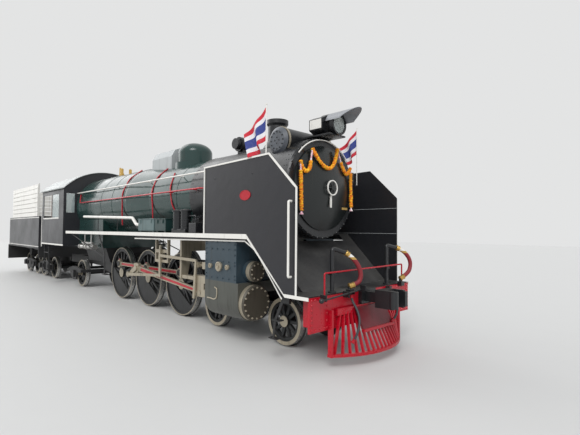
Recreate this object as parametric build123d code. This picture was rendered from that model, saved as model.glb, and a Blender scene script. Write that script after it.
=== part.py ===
from build123d import *
import math
import os

# Steam locomotive with its tender: four leading wheels, six coupled wheels, two trailing wheels.
# X runs forward along the track, Y to the left, Z up, in millimetres. The origin lies under the middle
# of the length over the couplers, at the tips of the wheel flanges.
# "back" is a distance behind the front beam's face, and "height" is counted over the rail top.

os.makedirs("parts", exist_ok=True)

overall = 19300.0
coupler_reach = 620.0
beam_x = overall / 2 - coupler_reach
running_gap = 0.1
seat_gap = 0.4
sliding_gap = 0.5
working_gap = 5.0

# Wheels and axles
flange_depth = 28.0
tyre_width = 130.0
tyre_inside = 463.0
tyre_thick = 62.0
rim_deep = 46.0
hub_proud = 6.0
spoke_deep = 52.0
crank_boss_r = 105.0
crank_pin_r = 55.0
flange_width = 32.0
driver_d = 1372.0
lead_d = 770.0
trail_d = 860.0
tender_wheel_d = 800.0
driver_backs = [4480.0, 6080.0, 7680.0]
lead_backs = [1200.0, 3130.0]
trail_back = 10850.0
driver_axle_r = 85.0
carrying_axle_r = 65.0
crank_throw = 305.0
crank_right = 60.0
quartering = 90.0

# Rods and motion, by distance from the centre plane
coupling_rod_y = 700.0
coupling_rod_wide = 70.0
cylinder_y = 930.0
main_rod_wide = 80.0
main_rod_long = 2830.0
return_crank_throw = 200.0
return_crank_wide = 34.0
eccentric_rod_wide = 34.0
piston_rod_r = 36.0
piston_rod_long = 1120.0
guide_bar_wide = 110.0
guide_bar_high = 70.0
guide_bar_over = 215.0
slipper_half = 210.0
slipper_side = 16.0

# Cylinders
cylinder_long = 950.0
cylinder_behind = 700.0
cylinder_back = driver_backs[1] - main_rod_long - cylinder_behind
cylinder_front = cylinder_back - cylinder_long
cylinder_r = 310.0
cover_thick = 110.0
cover_r = 296.0
rear_cover = 45.0
valve_height = 1200.0
valve_r = 170.0
chest_top = 1720.0

# Frames
frame_in = 345.0
frame_thick = 80.0
frame_top = 1130.0
frame_low = 520.0
frame_front_top = 976.0
bogie_top = 857.0
bogie_pin_r = 55.0
frame_split = 9300.0
frame_end = 12700.0
horn_wide = 290.0
bogie_pin_back = sum(lead_backs) / 2

trail_pivot_back = 8950.0
truck_out = 760.0
truck_thick = 60.0
truck_axle_in = 60.0
bogie_axle_in = 60.0
bogie_out = 640.0

# Boiler
boiler_height = 2600.0
smokebox_r = 860.0
smokebox_front = 880.0
smokebox_end = 3750.0
smokebox_plate = 16.0
door_r = 720.0
door_bulge = 140.0
door_plate = 14.0
hinge_y = 790.0
hinge_pin_r = 15.0
hinge_heights = (boiler_height - 260.0, boiler_height + 260.0)
barrel_r = 840.0
firebox_r = 930.0
cone_front = 5600.0
cone_end = 6700.0
firebox_front = 8480.0
firebox_half = 820.0
firebox_low = 1330.0
backhead_back = 10950.0

# On top of the boiler
heater_r = 235.0
heater_back = 1375.0
heater_height = 3410.0
heater_half = 620.0
chimney_back = 2030.0
chimney_bore = 154.0
chimney_top = 3975.0
dome_back = 4930.0
dome_r = 400.0
dome_top = 3960.0
sand_front = 5420.0
sand_back = 6420.0
sand_half = 360.0
sand_top = 3900.0
valves_back = 8900.0
whistle_back = 9350.0
fitting_back = 3020.0
lamp_height = 3648.0
lamp_r = 172.0
lamp_front = 520.0
lamp_plate_y = 265.0
hood_reach = 430.0

# Boards, deflectors and beam
board_half = 1300.0
board_height = 1820.0
board_plate = 14.0
board_edge = 78.0
board_end = 10160.0
bend_back = 1330.0
foot_back = 480.0
deck_height = 990.0
deflector_plate = 12.0
deflector_rear = 2520.0
deflector_top = 3030.0
beam_half = 1283.0
beam_low = 505.0
beam_thick = 30.0
pilot_low = 130.0
pilot_top = 735.0
pilot_reach = 330.0
pilot_half = 880.0
coupler_height = 890.0

# Handrail along the boiler
rail_r = 17.0
rail_post_r = 12.0
rail_y = 900.0
rail_over = 420.0
rail_front = 2600.0
rail_posts = [2700.0, 4200.0, 5700.0, 7400.0, 9100.0, 10300.0]

# Cab
cab_front = 10450.0
cab_rear = 12850.0
cab_half = 1310.0
cab_plate = 16.0
cab_low = 1350.0
cab_eave = 3170.0
cab_crest = 3760.0
window_low = 2250.0
window_high = 3010.0
window_ends = [10930.0, 12640.0]

# Tender
drawbar_back = 12560.0
drawbar_low = 800.0
drawbar_high = 860.0
drawbar_pin_r = 42.0
tender_front = 13300.0
tender_end = overall - coupler_reach - 400.0
tender_half = 1290.0
tender_deck = 1180.0
tank_top = 2340.0
bin_top = 3560.0
tender_bogies = [14600.0, 17000.0]
tender_bogie_base = 1400.0
tender_bogie_top = 755.0
tender_pin_r = 50.0


def at(back):
    return beam_x - back


def up(height):
    return flange_depth + height


def block(back_0, back_1, y_0, y_1, height_0, height_1):
    x_0, x_1 = sorted((at(back_0), at(back_1)))
    y_0, y_1 = sorted((y_0, y_1))
    centre = ((x_0 + x_1) / 2, (y_0 + y_1) / 2, (up(height_0) + up(height_1)) / 2)
    return Pos(*centre) * Box(x_1 - x_0, y_1 - y_0, up(height_1) - up(height_0))


def bar_x(radius, back_0, back_1, y, height):
    x_0, x_1 = sorted((at(back_0), at(back_1)))
    return Pos((x_0 + x_1) / 2, y, up(height)) * Rot(0, 90, 0) * Cylinder(radius, x_1 - x_0)


def bar_y(radius, back, y_0, y_1, height):
    y_0, y_1 = sorted((y_0, y_1))
    return Pos(at(back), (y_0 + y_1) / 2, up(height)) * Rot(90, 0, 0) * Cylinder(radius, y_1 - y_0)


def bar_z(radius, back, y, height_0, height_1):
    low, high = sorted((height_0, height_1))
    return Pos(at(back), y, up((low + high) / 2)) * Cylinder(radius, high - low)


def side_plate(outline, y_0, y_1, rounds=None):
    """Plate between two distances from the centre plane, its outline given as (back, height)."""
    y_0, y_1 = sorted((y_0, y_1))
    points = [(at(b), up(h)) for b, h in outline]
    wires = Polyline(*points, close=True) if rounds is None else FilletPolyline(
        *points, radius=rounds, close=True,
    )
    face = make_face(wires)
    return Pos(0, y_1, 0) * extrude(Rot(90, 0, 0) * face, y_1 - y_0, dir=(0, -1, 0))


def cross_plate(outline, back_0, back_1):
    """Plate across the locomotive, its outline given as (y, height)."""
    x_0, x_1 = sorted((at(back_0), at(back_1)))
    points = [Vector(x_0, y, up(h)) for y, h in outline]
    return extrude(make_face(Polyline(*points, close=True)), x_1 - x_0, dir=(1, 0, 0))


def turned(profile, back, height):
    """Ring round an axle across the locomotive, its section given as (y, radius)."""
    points = [Vector(at(back), y, up(height) + r) for y, r in profile]
    face = make_face(Polyline(*points, close=True))
    return revolve(face, Axis((at(back), 0, up(height)), (0, 1, 0)), 360)


def turned_x(profile, y, height):
    """Ring round a line along the locomotive, its section given as (back, radius)."""
    points = [Vector(at(b), y, up(height) + r) for b, r in profile]
    face = make_face(Polyline(*points, close=True))
    return revolve(face, Axis((0, y, up(height)), (1, 0, 0)), 360)


def turned_z(profile, back, y):
    """Ring round an upright line, its section given as (radius, height)."""
    points = [Vector(at(back) + r, y, up(h)) for r, h in profile]
    face = make_face(Polyline(*points, close=True))
    return revolve(face, Axis((at(back), y, 0), (0, 0, 1)), 360)


def tube_run(route, radius, bend):
    """Round bar or pipe along points given as (back, y, height), with one radius for every corner."""
    points = [Vector(at(b), y, up(h)) for b, y, h in route]
    path = FilletPolyline(*points, radius=bend) if len(points) > 2 else Line(points[0], points[1])
    start = Plane(origin=path @ 0, z_dir=path % 0)
    return sweep(start * Circle(radius), path)


def mirrored(solid):
    return mirror(solid, Plane.XZ)


def fused(solids):
    whole = solids[0]
    for solid in solids[1:]:
        whole = whole + solid
    return whole


def save(name, solids):
    loose = [s for item in solids for s in item.solids()]
    export_step(Compound(children=loose), f"parts/{name}.step")


def pin_place(back, side):
    """Crank pin of one side at rest: right is -1, left is 1. Returned as (back, height)."""
    angle = math.radians(crank_right if side < 0 else crank_right + quartering)
    return back - crank_throw * math.cos(angle), driver_d / 2 + crank_throw * math.sin(angle)


def tyre(tread_r):
    """Tyre of the left wheel round the Y axis, with its flange inside."""
    outside = tyre_inside + tyre_width
    profile = [
        (tyre_inside, tread_r - tyre_thick),
        (tyre_inside, tread_r + flange_depth * 0.6),
        (tyre_inside + flange_width * 0.25, tread_r + flange_depth),
        (tyre_inside + flange_width * 0.6, tread_r + flange_depth),
        (tyre_inside + flange_width, tread_r),
        (outside, tread_r),
        (outside, tread_r - tyre_thick),
    ]
    face = make_face(Polyline(*[Vector(0, y, r) for y, r in profile], close=True))
    return revolve(face, Axis.Y, 360)


def across(radius, y_0, y_1):
    """Round bar along the Y axis."""
    y_0, y_1 = sorted((y_0, y_1))
    return Pos(0, (y_0 + y_1) / 2, 0) * Rot(90, 0, 0) * Cylinder(radius, y_1 - y_0)


def wheel(tread_r, spokes, hub_r, spoke_low, spoke_high):
    """Left wheel round the Y axis, tyre, rim, spokes and hub in one."""
    rim_out = tread_r - tyre_thick
    rim_in = rim_out - rim_deep
    inner = tyre_inside + 18.0
    outer = tyre_inside + tyre_width - 14.0
    rim = across(rim_out, inner, outer) - across(rim_in, inner, outer)
    hub = across(hub_r, tyre_inside - hub_proud, tyre_inside + tyre_width + hub_proud)
    ends = [(hub_r * 0.9, spoke_low / 2), (rim_in + 4.0, spoke_high / 2)]
    corners = [(x, -w) for x, w in ends] + [(x, w) for x, w in reversed(ends)]
    face = Rot(90, 0, 0) * make_face(Polyline(*corners, close=True))
    spoke = Pos(
        0, tyre_inside + tyre_width / 2 + spoke_deep / 2, 0,
    ) * extrude(face, spoke_deep, dir=(0, -1, 0))
    arms = [Rot(0, 360.0 * i / spokes, 0) * spoke for i in range(spokes)]
    return fused([tyre(tread_r), rim, hub] + arms)


def driving_wheel(weight_start):
    """Left driving wheel round the Y axis, its crank along +X and its balance weight opposite."""
    tread_r = driver_d / 2
    rim_in = tread_r - tyre_thick - rim_deep
    face = tyre_inside + tyre_width
    boss_end = coupling_rod_y - coupling_rod_wide / 2 - 2.0
    pin_end = coupling_rod_y + coupling_rod_wide / 2 + 4.0
    boss = across(crank_boss_r, tyre_inside + 30.0, boss_end)
    pin = across(crank_pin_r, face - 20.0, pin_end) + across(crank_pin_r + 11.0, pin_end, pin_end + 16.0)
    web = Pos(crank_throw / 2, face - tyre_width / 2, 0) * Box(
        crank_throw, tyre_width - 20.0, 1.8 * crank_boss_r,
    )
    disc = across(rim_in + 2.0, tyre_inside + 20.0, face - 16.0)
    weight = disc & (Pos(-weight_start - rim_in, face, 0) * Box(2 * rim_in, face, 2 * rim_in))
    body = wheel(tread_r, 16, 125.0, 62.0, 40.0)
    return fused([body, web, Pos(crank_throw, 0, 0) * boss, Pos(crank_throw, 0, 0) * pin, weight])


def axle(back, diameter, left_wheel, axle_r, half_long, turn_right=0.0, turn_left=0.0):
    """Axle with its two wheels, each turned by its crank angle."""
    place = Pos(at(back), 0, up(diameter / 2))
    right = Rot(0, -turn_right, 0) * mirrored(left_wheel)
    left = Rot(0, -turn_left, 0) * left_wheel
    return place * fused([across(axle_r, -half_long, half_long), right, left])


def coupling_rod(side):
    y_0 = side * (coupling_rod_y - coupling_rod_wide / 2)
    y_1 = side * (coupling_rod_y + coupling_rod_wide / 2)
    pins = [pin_place(back, side) for back in driver_backs]
    height = pins[0][1]
    pieces = [block(pins[0][0], pins[-1][0], y_0 + side * 8.0, y_1 - side * 8.0, height - 48.0, height + 48.0)]
    for pin_back, pin_height in pins:
        pieces.append(bar_y(102.0, pin_back, y_0, y_1, pin_height))
        pieces.append(
            block(
                pin_back - 30.0, pin_back + 30.0, y_0 + side * 14.0, y_1 - side * 14.0, height,
                height + 128.0,
            )
        )
    rod = fused(pieces)
    for first, second in zip(pins, pins[1:]):
        flute = block(
            first[0] + 150.0, second[0] - 150.0, y_1 - side * 18.0, y_1, height - 28.0, height + 28.0,
        )
        rod = rod - flute
    for pin_back, pin_height in pins:
        rod = rod - bar_y(55.0 + running_gap, pin_back, y_0, y_1, pin_height)
    return rod


def crosshead_place(side):
    """Wrist pin at rest, as (back, height), from the crank pin and the length of the main rod."""
    pin_back, pin_height = pin_place(driver_backs[1], side)
    rise = pin_height - driver_d / 2
    return pin_back - math.sqrt(main_rod_long**2 - rise**2), driver_d / 2


def main_rod(side):
    pin_back, pin_height = pin_place(driver_backs[1], side)
    wrist_back, wrist_height = crosshead_place(side)
    tilt = math.degrees(math.asin((pin_height - wrist_height) / main_rod_long))
    half = main_rod_wide / 2
    shank = extrude(
        Rot(90, 0, 0) * make_face(
            Polyline(
                (-40, -44), (-main_rod_long + 60, -62), (-main_rod_long + 60, 62), (-40, 44), close=True,
            )
        ),
        25.0,
        both=True,
    )
    small = Rot(90, 0, 0) * Cylinder(88.0, main_rod_wide)
    big = Pos(-main_rod_long, 0, 0) * Rot(90, 0, 0) * Cylinder(128.0, main_rod_wide)
    big = big + Pos(-main_rod_long - 20.0, 0, 0) * Box(250.0, main_rod_wide, 210.0)
    rod = shank + small + big
    flute_face = make_face(
        Polyline(
            (-150, -22), (-main_rod_long + 200, -36), (-main_rod_long + 200, 36), (-150, 22), close=True,
        )
    )
    flute = extrude(Rot(90, 0, 0) * flute_face, 11.0, both=True)
    rod = rod - Pos(0, side * 25.0, 0) * flute
    rod = rod - Rot(90, 0, 0) * Cylinder(45.0 + running_gap, 2 * main_rod_wide)
    place = Pos(at(wrist_back), side * cylinder_y, up(wrist_height)) * Rot(0, tilt, 0)
    rod = place * rod
    eccentric_back, eccentric_height = eccentric_place(side)
    outer = side * (cylinder_y + half)
    crank = fused(
        [
            bar_y(62.0, pin_back, outer, outer + side * return_crank_wide, pin_height),
            bar_y(46.0, eccentric_back, outer, outer + side * return_crank_wide, eccentric_height),
            side_plate(
                arm_outline((pin_back, pin_height), (eccentric_back, eccentric_height), 58.0, 44.0),
                outer,
                outer + side * return_crank_wide,
            ),
        ]
    )
    return rod + crank


def arm_outline(first, second, half_first, half_second):
    """Four corners of a tapered arm between two points given as (back, height)."""
    run = (second[0] - first[0], second[1] - first[1])
    long = math.hypot(*run)
    across = (-run[1] / long, run[0] / long)
    return [
        (first[0] + across[0] * half_first, first[1] + across[1] * half_first),
        (second[0] + across[0] * half_second, second[1] + across[1] * half_second),
        (second[0] - across[0] * half_second, second[1] - across[1] * half_second),
        (first[0] - across[0] * half_first, first[1] - across[1] * half_first),
    ]


def eccentric_place(side):
    """Pin of the return crank, a right angle behind the crank pin, as (back, height)."""
    angle = math.radians((crank_right if side < 0 else crank_right + quartering) + 90.0)
    back = driver_backs[1] - return_crank_throw * math.cos(angle)
    return back, driver_d / 2 + return_crank_throw * math.sin(angle)


def crosshead(side):
    wrist_back, height = crosshead_place(side)
    y = side * cylinder_y
    bar_half = guide_bar_wide / 2 + sliding_gap
    bar_low = guide_bar_over - sliding_gap
    bar_high = guide_bar_over + guide_bar_high + sliding_gap
    cheek_in = main_rod_wide / 2 + 2.0
    wide = bar_half + slipper_side
    slipper = block(
        wrist_back - slipper_half, wrist_back + slipper_half, y - wide, y + wide, height + bar_low - 34, height + bar_high + 34
    )
    tunnel = block(
        wrist_back - 300, wrist_back + 300, y - bar_half, y + bar_half, height + bar_low, height + bar_high,
    )
    cheeks = [
        side_plate(
            [
                (wrist_back - 150, height + bar_low - 30),
                (wrist_back + 120, height + bar_low - 30),
                (wrist_back + 95, height - 80),
                (wrist_back - 130, height - 80),
            ],
            y + out * cheek_in,
            y + out * (cheek_in + 26.0),
        )
        for out in (-1, 1)
    ]
    nose = block(
        wrist_back - 190, wrist_back - 105, y - cheek_in - 26, y + cheek_in + 26, height - 70, height + 70,
    )
    pin = bar_y(45.0, wrist_back, y - cheek_in - 34, y + cheek_in + 34, height)
    body = fused([slipper - tunnel, nose, pin] + cheeks)
    rod = bar_x(piston_rod_r, wrist_back - 180.0, wrist_back - piston_rod_long, y, height)
    return body + rod


def main_frames():
    front = [
        (beam_thick, 860), (beam_thick, frame_front_top), (3300, frame_front_top), (3900, frame_top),
        (8600, frame_top), (
            frame_split, 960,
        ), (frame_split, 640), (8500, frame_low), (3700, frame_low), (3400, 830),
        (2900, 860),
    ]
    rear = [
        (
            frame_split - 420, 960,
        ), (frame_end, 960), (frame_end, 700), (12000, 700), (11600, 760), (frame_split - 420, 700),
    ]
    axle_height = driver_d / 2
    half = horn_wide / 2
    solids = []
    for side in (-1, 1):
        plate = side_plate(front, side * frame_in, side * (frame_in + frame_thick))
        for back in driver_backs:
            plate = plate - block(back - half, back + half, -800, 800, axle_height - 155, axle_height + 175)
        solids += [plate, side_plate(rear, side * (frame_in - frame_thick), side * frame_in)]
    rear_in = frame_in - frame_thick
    ties = [(3620, 3680), (5230, 5330), (6830, 6930), (8420, 8520)]
    solids += [block(first, last, -frame_in, frame_in, 720, 930) for first, last in ties]
    solids.append(block(trail_pivot_back - 90, trail_pivot_back + 90, -frame_in, frame_in, 700, 930))
    solids.append(bar_z(45.0, trail_pivot_back, 0, trail_d / 2 + 50, 730))
    for low, high in ((drawbar_low - 80, drawbar_low - 20), (drawbar_high + 20, drawbar_high + 80)):
        solids.append(block(drawbar_back - 300, frame_end, -rear_in, rear_in, low, high))
    solids.append(bar_z(drawbar_pin_r, drawbar_back, 0, drawbar_low - 60, drawbar_high + 60))
    pivot = block(
        bogie_pin_back - 260, bogie_pin_back + 260, -frame_in, frame_in, bogie_top + working_gap, 960,
    )
    solids += [pivot, bar_z(bogie_pin_r, bogie_pin_back, 0, 560, bogie_top + 20)]
    return fused(solids)


def axle_boxes():
    solids = []
    for back in driver_backs:
        axle = driver_d / 2
        for side in (-1, 1):
            half = horn_wide / 2
            box = block(
                back - half, back + half, side * (frame_in - 15), side * (frame_in + frame_thick + 12),
                axle - 140, axle + 150,
            )
            solids.append(box - bar_y(driver_axle_r + running_gap, back, -800, 800, axle))
    return solids


def lead_bogie():
    half = 300.0
    thick = 60.0
    r = lead_d / 2
    first, last = lead_backs
    outline = [
        (
            first - 190, 300,
        ), (first - 190, 560), (first + 190, 620), (last - 190, 620), (last + 190, 560), (last + 190, 300),
        (last - 190, 300), (last - 230, 420), (first + 230, 420), (first + 190, 300),
    ]
    sides = []
    for side in (-1, 1):
        plate = side_plate(outline, side * half, side * (half + thick))
        for back in lead_backs:
            plate = plate - bar_y(carrying_axle_r + running_gap, back, -900, 900, r)
        sides.append(plate)
    centre = block(bogie_pin_back - 280, bogie_pin_back + 280, -half, half, 470, 600)
    centre = centre + bar_z(150.0, bogie_pin_back, 0, 560, bogie_top)
    centre = centre - bar_z(bogie_pin_r + running_gap, bogie_pin_back, 0, 400, 900)
    ends = [
        block(first - 180, first - 130, -half, half, 440, 540),
        block(last + 130, last + 180, -half, half, 440, 540),
    ]
    return fused(sides + [centre] + ends)


def trailing_truck():
    r = trail_d / 2
    back = trail_back
    reach = r + flange_depth + 80.0
    outline = [
        (back - reach - 60, r + 60), (
            back - reach - 60, r + 150,
        ), (back - 160, r + 230), (back + 160, r + 230),
        (
            back + reach + 60, r + 150,
        ), (back + reach + 60, r + 60), (back + 190, r + 40), (back + 150, r - 190),
        (back - 150, r - 190), (back - 190, r + 40),
    ]
    bore_end = truck_out + truck_axle_in + 2.0
    bore = bar_y(carrying_axle_r + running_gap, back, -bore_end, bore_end, r)
    sides = []
    for side in (-1, 1):
        outer = side * (truck_out + truck_thick)
        plate = side_plate(outline, side * truck_out, outer)
        cap = block(back - 105, back + 105, outer, outer + side * 70.0, r - 110, r + 110)
        sides.append((plate + cap) - bore)
    bars = [
        block(
            back + end * reach, back + end * (reach + 60), -truck_out, truck_out, r + 60, r + 150,
        ) for end in (-1, 1)
    ]
    arm = block(trail_pivot_back, back - reach, -80, 80, r + 60, r + 150)
    eye = bar_z(95.0, trail_pivot_back, 0, r + 60, r + 150)
    tongue = (arm + eye) - bar_z(45.0 + running_gap, trail_pivot_back, 0, 300, 800)
    return fused(sides + bars + [tongue])


def cylinders():
    height = driver_d / 2
    casings = []
    chests = []
    covers = []
    for side in (-1, 1):
        y = side * cylinder_y
        body = bar_x(cylinder_r, cylinder_front, cylinder_back, y, height)
        inner = side * (frame_in + frame_thick)
        body = body + block(cylinder_front, cylinder_back, inner, y, 830, 1015)
        body = body + block(
            cylinder_front, cylinder_back, y - side * cylinder_r, y + side * cylinder_r, height, 1015,
        )
        body = body - bar_x(piston_rod_r + running_gap, cylinder_front + 60, cylinder_back + 50, y, height)
        casings.append(body)
        chest = block(cylinder_front + 50, cylinder_back, inner, y + side * cylinder_r, 1015, chest_top)
        neck = bar_x(valve_r + 10, cylinder_front - 20, cylinder_front + 60, y, valve_height)
        chests.append(chest + neck)
        front = turned_x(
            [
                (cylinder_front, 0), (cylinder_front, cover_r), (
                    cylinder_front - cover_thick + 30, cover_r,
                ),
                (cylinder_front - cover_thick, cover_r - 24), (cylinder_front - cover_thick, 0),
            ],
            y,
            height,
        )
        rear = turned_x(
            [
                (cylinder_back, piston_rod_r + running_gap), (cylinder_back, cylinder_r - 30),
                (
                    cylinder_back + rear_cover, cylinder_r - 30,
                ), (cylinder_back + rear_cover, 95), (cylinder_back + 120, 80),
                (cylinder_back + 120, piston_rod_r + running_gap),
            ],
            y,
            height,
        )
        valve_face = cylinder_front - 20
        valve = turned_x(
            [
                (valve_face, 0), (valve_face, valve_r), (valve_face - 85, valve_r), (
                    valve_face - 105, valve_r - 22,
                ),
                (valve_face - 105, 0),
            ],
            y,
            valve_height,
        )
        covers += [front, rear, valve]
    saddle_half = frame_in
    low = block(cylinder_front + 50, cylinder_back, -saddle_half, saddle_half, 985, chest_top)
    wings = block(cylinder_front + 50, cylinder_back, -640, 640, 1300, 2250)
    smoke = bar_x(smokebox_r + seat_gap, 0, 5000, 0, boiler_height)
    wings = wings - smoke
    wings = wings - block(0, 5000, -3000, 3000, 0, chest_top)
    casings.append(fused([low, wings]))
    return casings, chests, covers


def guide_bars():
    solids = []
    low = driver_d / 2 + guide_bar_over
    rear_end = driver_backs[1] - main_rod_long + crank_throw + slipper_half + 20.0
    inner = frame_in + frame_thick
    outer = cylinder_y + main_rod_wide / 2 + return_crank_wide - working_gap
    over_wheel = driver_d + flange_depth + 40.0
    for side in (-1, 1):
        y = side * cylinder_y
        half = guide_bar_wide / 2
        bar = block(cylinder_back + rear_cover, rear_end, y - half, y + half, low, low + guide_bar_high)
        outline = [
            (side * outer, low - 6), (
                side * outer, board_height - board_plate,
            ), (side * inner, board_height - board_plate),
            (side * inner, over_wheel), (
                side * (y * side - half - 120), over_wheel,
            ), (side * (y * side - half - 20), low - 6),
        ]
        solids.append(bar + cross_plate(outline, rear_end, rear_end + 60))
    return solids


def valve_gear():
    solids = []
    height = driver_d / 2
    link_back = driver_backs[0] + 170.0
    link_height = 1280.0
    inner = cylinder_y + main_rod_wide / 2 + return_crank_wide + working_gap
    for side in (-1, 1):
        y_0 = side * inner
        y_1 = side * (inner + eccentric_rod_wide)
        eccentric_back, eccentric_height = eccentric_place(-1)
        foot = (link_back - 20.0, 890.0)
        rod = side_plate(arm_outline((eccentric_back, eccentric_height), foot, 34, 28), y_0, y_1)
        rod = rod + bar_y(
            70.0, eccentric_back, y_0, y_1, eccentric_height,
        ) + bar_y(48.0, foot[0], y_0, y_1, foot[1])
        link = side_plate(
            [
                (
                    link_back - 60, link_height - 270,
                ), (link_back + 5, link_height - 250), (link_back + 30, link_height),
                (link_back + 5, link_height + 250), (
                    link_back - 60, link_height + 270,
                ), (link_back - 40, link_height),
            ],
            y_0, y_1,
        )
        tail = side_plate(arm_outline(foot, (link_back - 20, link_height - 240), 30, 42), y_0, y_1)
        lever_top = (cylinder_back + 640.0, valve_height + 90)
        radius_rod = side_plate(
            arm_outline((link_back - 20, link_height + 40), lever_top, 30, 26), y_0, y_1,
        )
        lever = side_plate(arm_outline(lever_top, (cylinder_back + 700.0, 560.0), 26, 34), y_0, y_1)
        solids.append(fused([rod, link, tail, radius_rod, lever]))
        spindle = bar_x(24.0, cylinder_back, cylinder_back + 660, side * cylinder_y, valve_height)
        guide = block(
            cylinder_back + 330, cylinder_back + 470, side * (cylinder_y - 70), side * (cylinder_y + 70),
            valve_height - 60, valve_height + 70,
        )
        stay = block(
            cylinder_back, cylinder_back + 400, side * (cylinder_y - 40), side * (cylinder_y + 40),
            valve_height + 70, valve_height + 110,
        )
        cross = block(
            cylinder_back + 600, cylinder_back + 660, side * (cylinder_y - 30), y_0, valve_height - 40,
            valve_height + 60,
        )
        solids[-1] = fused([solids[-1], spindle, guide, stay, cross])
        back_0, back_1 = link_back - 320, link_back + 260
        plate_in, plate_out = y_0 - side * 60, y_0 - side * working_gap
        under_board = board_height - board_plate - seat_gap
        bracket = [
            block(back_0, back_1, plate_in, plate_out, link_height + 100, link_height + 170),
            block(back_0, back_1, plate_in, plate_out, link_height - 110, link_height - 50),
            block(back_0, back_0 + 50, plate_in, plate_out, link_height - 110, under_board),
            block(back_1 - 50, back_1, plate_in, plate_out, link_height - 110, under_board),
            block(
                link_back - 65, link_back + 25, plate_in, plate_out, link_height - 110, link_height + 170,
            ),
            bar_y(30, link_back - 20, plate_in, y_0, link_height),
        ]
        solids[-1] = fused([solids[-1]] + bracket)
    return solids


def smokebox():
    shell = turned_x(
        [
            (smokebox_front + 30, smokebox_r), (smokebox_end, smokebox_r), (
                smokebox_end, smokebox_r - smokebox_plate,
            ),
            (smokebox_front + 30, smokebox_r - smokebox_plate),
        ],
        0,
        boiler_height,
    )
    ring = turned_x(
        [
            (
                smokebox_front, smokebox_r - 26,
            ), (smokebox_front + 26, smokebox_r), (smokebox_front + 42, smokebox_r),
            (smokebox_front + 42, door_r - 40), (smokebox_front, door_r - 40),
        ],
        0,
        boiler_height,
    )
    box = shell + ring
    drum = bar_y(heater_r + seat_gap, heater_back, -1200, 1200, heater_height)
    box = box - drum
    pipe = bar_z(chimney_bore, chimney_back, 0, 2600, 4000)
    box = box - pipe
    lugs = []
    for height in hinge_heights:
        for low in (height - 90, height + 40):
            lugs.append(block(smokebox_front - 46, smokebox_front, hinge_y - 45, hinge_y + 25, low, low + 50))
    post = bar_z(hinge_pin_r, smokebox_front - 30, hinge_y, hinge_heights[0] - 90, hinge_heights[1] + 90)
    return [fused([box, post] + lugs)]


def smokebox_door():
    front = smokebox_front - seat_gap
    rim = 26.0
    nose = front - rim - door_bulge
    spring = (door_r**2 - door_bulge**2) / (2 * door_bulge)
    arcs = []
    for radius, inset in ((spring + door_bulge, 0.0), (spring + door_bulge - door_plate, door_plate)):
        edge = math.sqrt(radius**2 - spring**2)
        half = math.asin(edge / radius) / 2
        middle = (spring - radius * math.cos(half), radius * math.sin(half))
        points = [(nose + inset, 0.0), (front - rim + middle[0], middle[1]), (front - rim, edge)]
        arcs.append([Vector(at(b), 0, up(boiler_height) + r) for b, r in points])
    outer, inner = arcs
    section = make_face([
        ThreePointArc(*outer),
        Line(outer[2], inner[2]),
        ThreePointArc(*reversed(inner)),
        Line(inner[0], outer[0]),
    ])
    dish = revolve(section, Axis((0, 0, up(boiler_height)), (1, 0, 0)), 360)
    flange = turned_x(
        [(front, door_r - 60), (front, door_r), (front - rim, door_r), (front - rim, door_r - 60)],
        0,
        boiler_height,
    )
    door = dish + flange
    for height in hinge_heights:
        strap = block(smokebox_front - 42, smokebox_front - 20, 500, hinge_y, height - 34, height + 34)
        eye = bar_z(26.0, smokebox_front - 30, hinge_y, height - 34, height + 34)
        door = door + strap + eye
        door = door - bar_z(
            hinge_pin_r + running_gap, smokebox_front - 30, hinge_y, height - 40, height + 40,
        )
    boss = bar_x(34.0, nose + 4, nose - 60, 0, boiler_height)
    wheel = turned_x(
        [(nose - 40, 112), (nose - 40, 130), (nose - 58, 130), (nose - 58, 112)], 0, boiler_height,
    )
    spokes = [
        Pos(at(nose - 49), 0, up(boiler_height)) * Rot(60 * i, 0, 0) * Box(12, 228, 14) for i in range(3)
    ]
    lever = cross_plate(
        [(-16, boiler_height - 330), (16, boiler_height - 330), (24, boiler_height), (-24, boiler_height)],
        nose - 22, nose - 6,
    )
    return door + boss + wheel + fused(spokes) + lever


def boiler():
    body = turned_x(
        [
            (smokebox_end, 0), (smokebox_end, barrel_r), (cone_front, barrel_r), (cone_end, firebox_r),
            (backhead_back, firebox_r), (backhead_back, 0),
        ],
        0,
        boiler_height,
    )
    box = block(firebox_front, backhead_back, -firebox_half, firebox_half, firebox_low, boiler_height)
    return body + box


def ring_z(radius_out, radius_in, low, high, back, y):
    return turned_z([(radius_in, low), (radius_out, low), (radius_out, high), (radius_in, high)], back, y)


def domes():
    low = boiler_height + 600
    over = bar_x(barrel_r + seat_gap, smokebox_end, cone_front, 0, boiler_height)
    side_low = dome_top - dome_r * 0.62
    body = bar_z(dome_r, dome_back, 0, low, side_low)
    cap = Pos(at(dome_back), 0, up(side_low)) * scale(Sphere(dome_r), by=(1, 1, 0.62))
    dome = body + cap
    base = bar_z(dome_r + 70, dome_back, 0, low, boiler_height + barrel_r + 24)
    dome = (dome + base) - over
    outline = [
        (-sand_half, low), (-sand_half, sand_top - 220), (
            -sand_half + 90, sand_top - 60,
        ), (-sand_half + 220, sand_top),
        (sand_half - 220, sand_top), (
            sand_half - 90, sand_top - 60,
        ), (sand_half, sand_top - 220), (sand_half, low),
    ]
    sand = cross_plate(outline, sand_front, sand_back)
    cone = turned_x(
        [
            (smokebox_end, 0), (smokebox_end, barrel_r + seat_gap), (cone_front, barrel_r + seat_gap),
            (cone_end, firebox_r + seat_gap), (cone_end + 500, firebox_r + seat_gap), (cone_end + 500, 0),
        ],
        0,
        boiler_height,
    )
    sand = sand - cone
    return [dome, sand]


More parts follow.
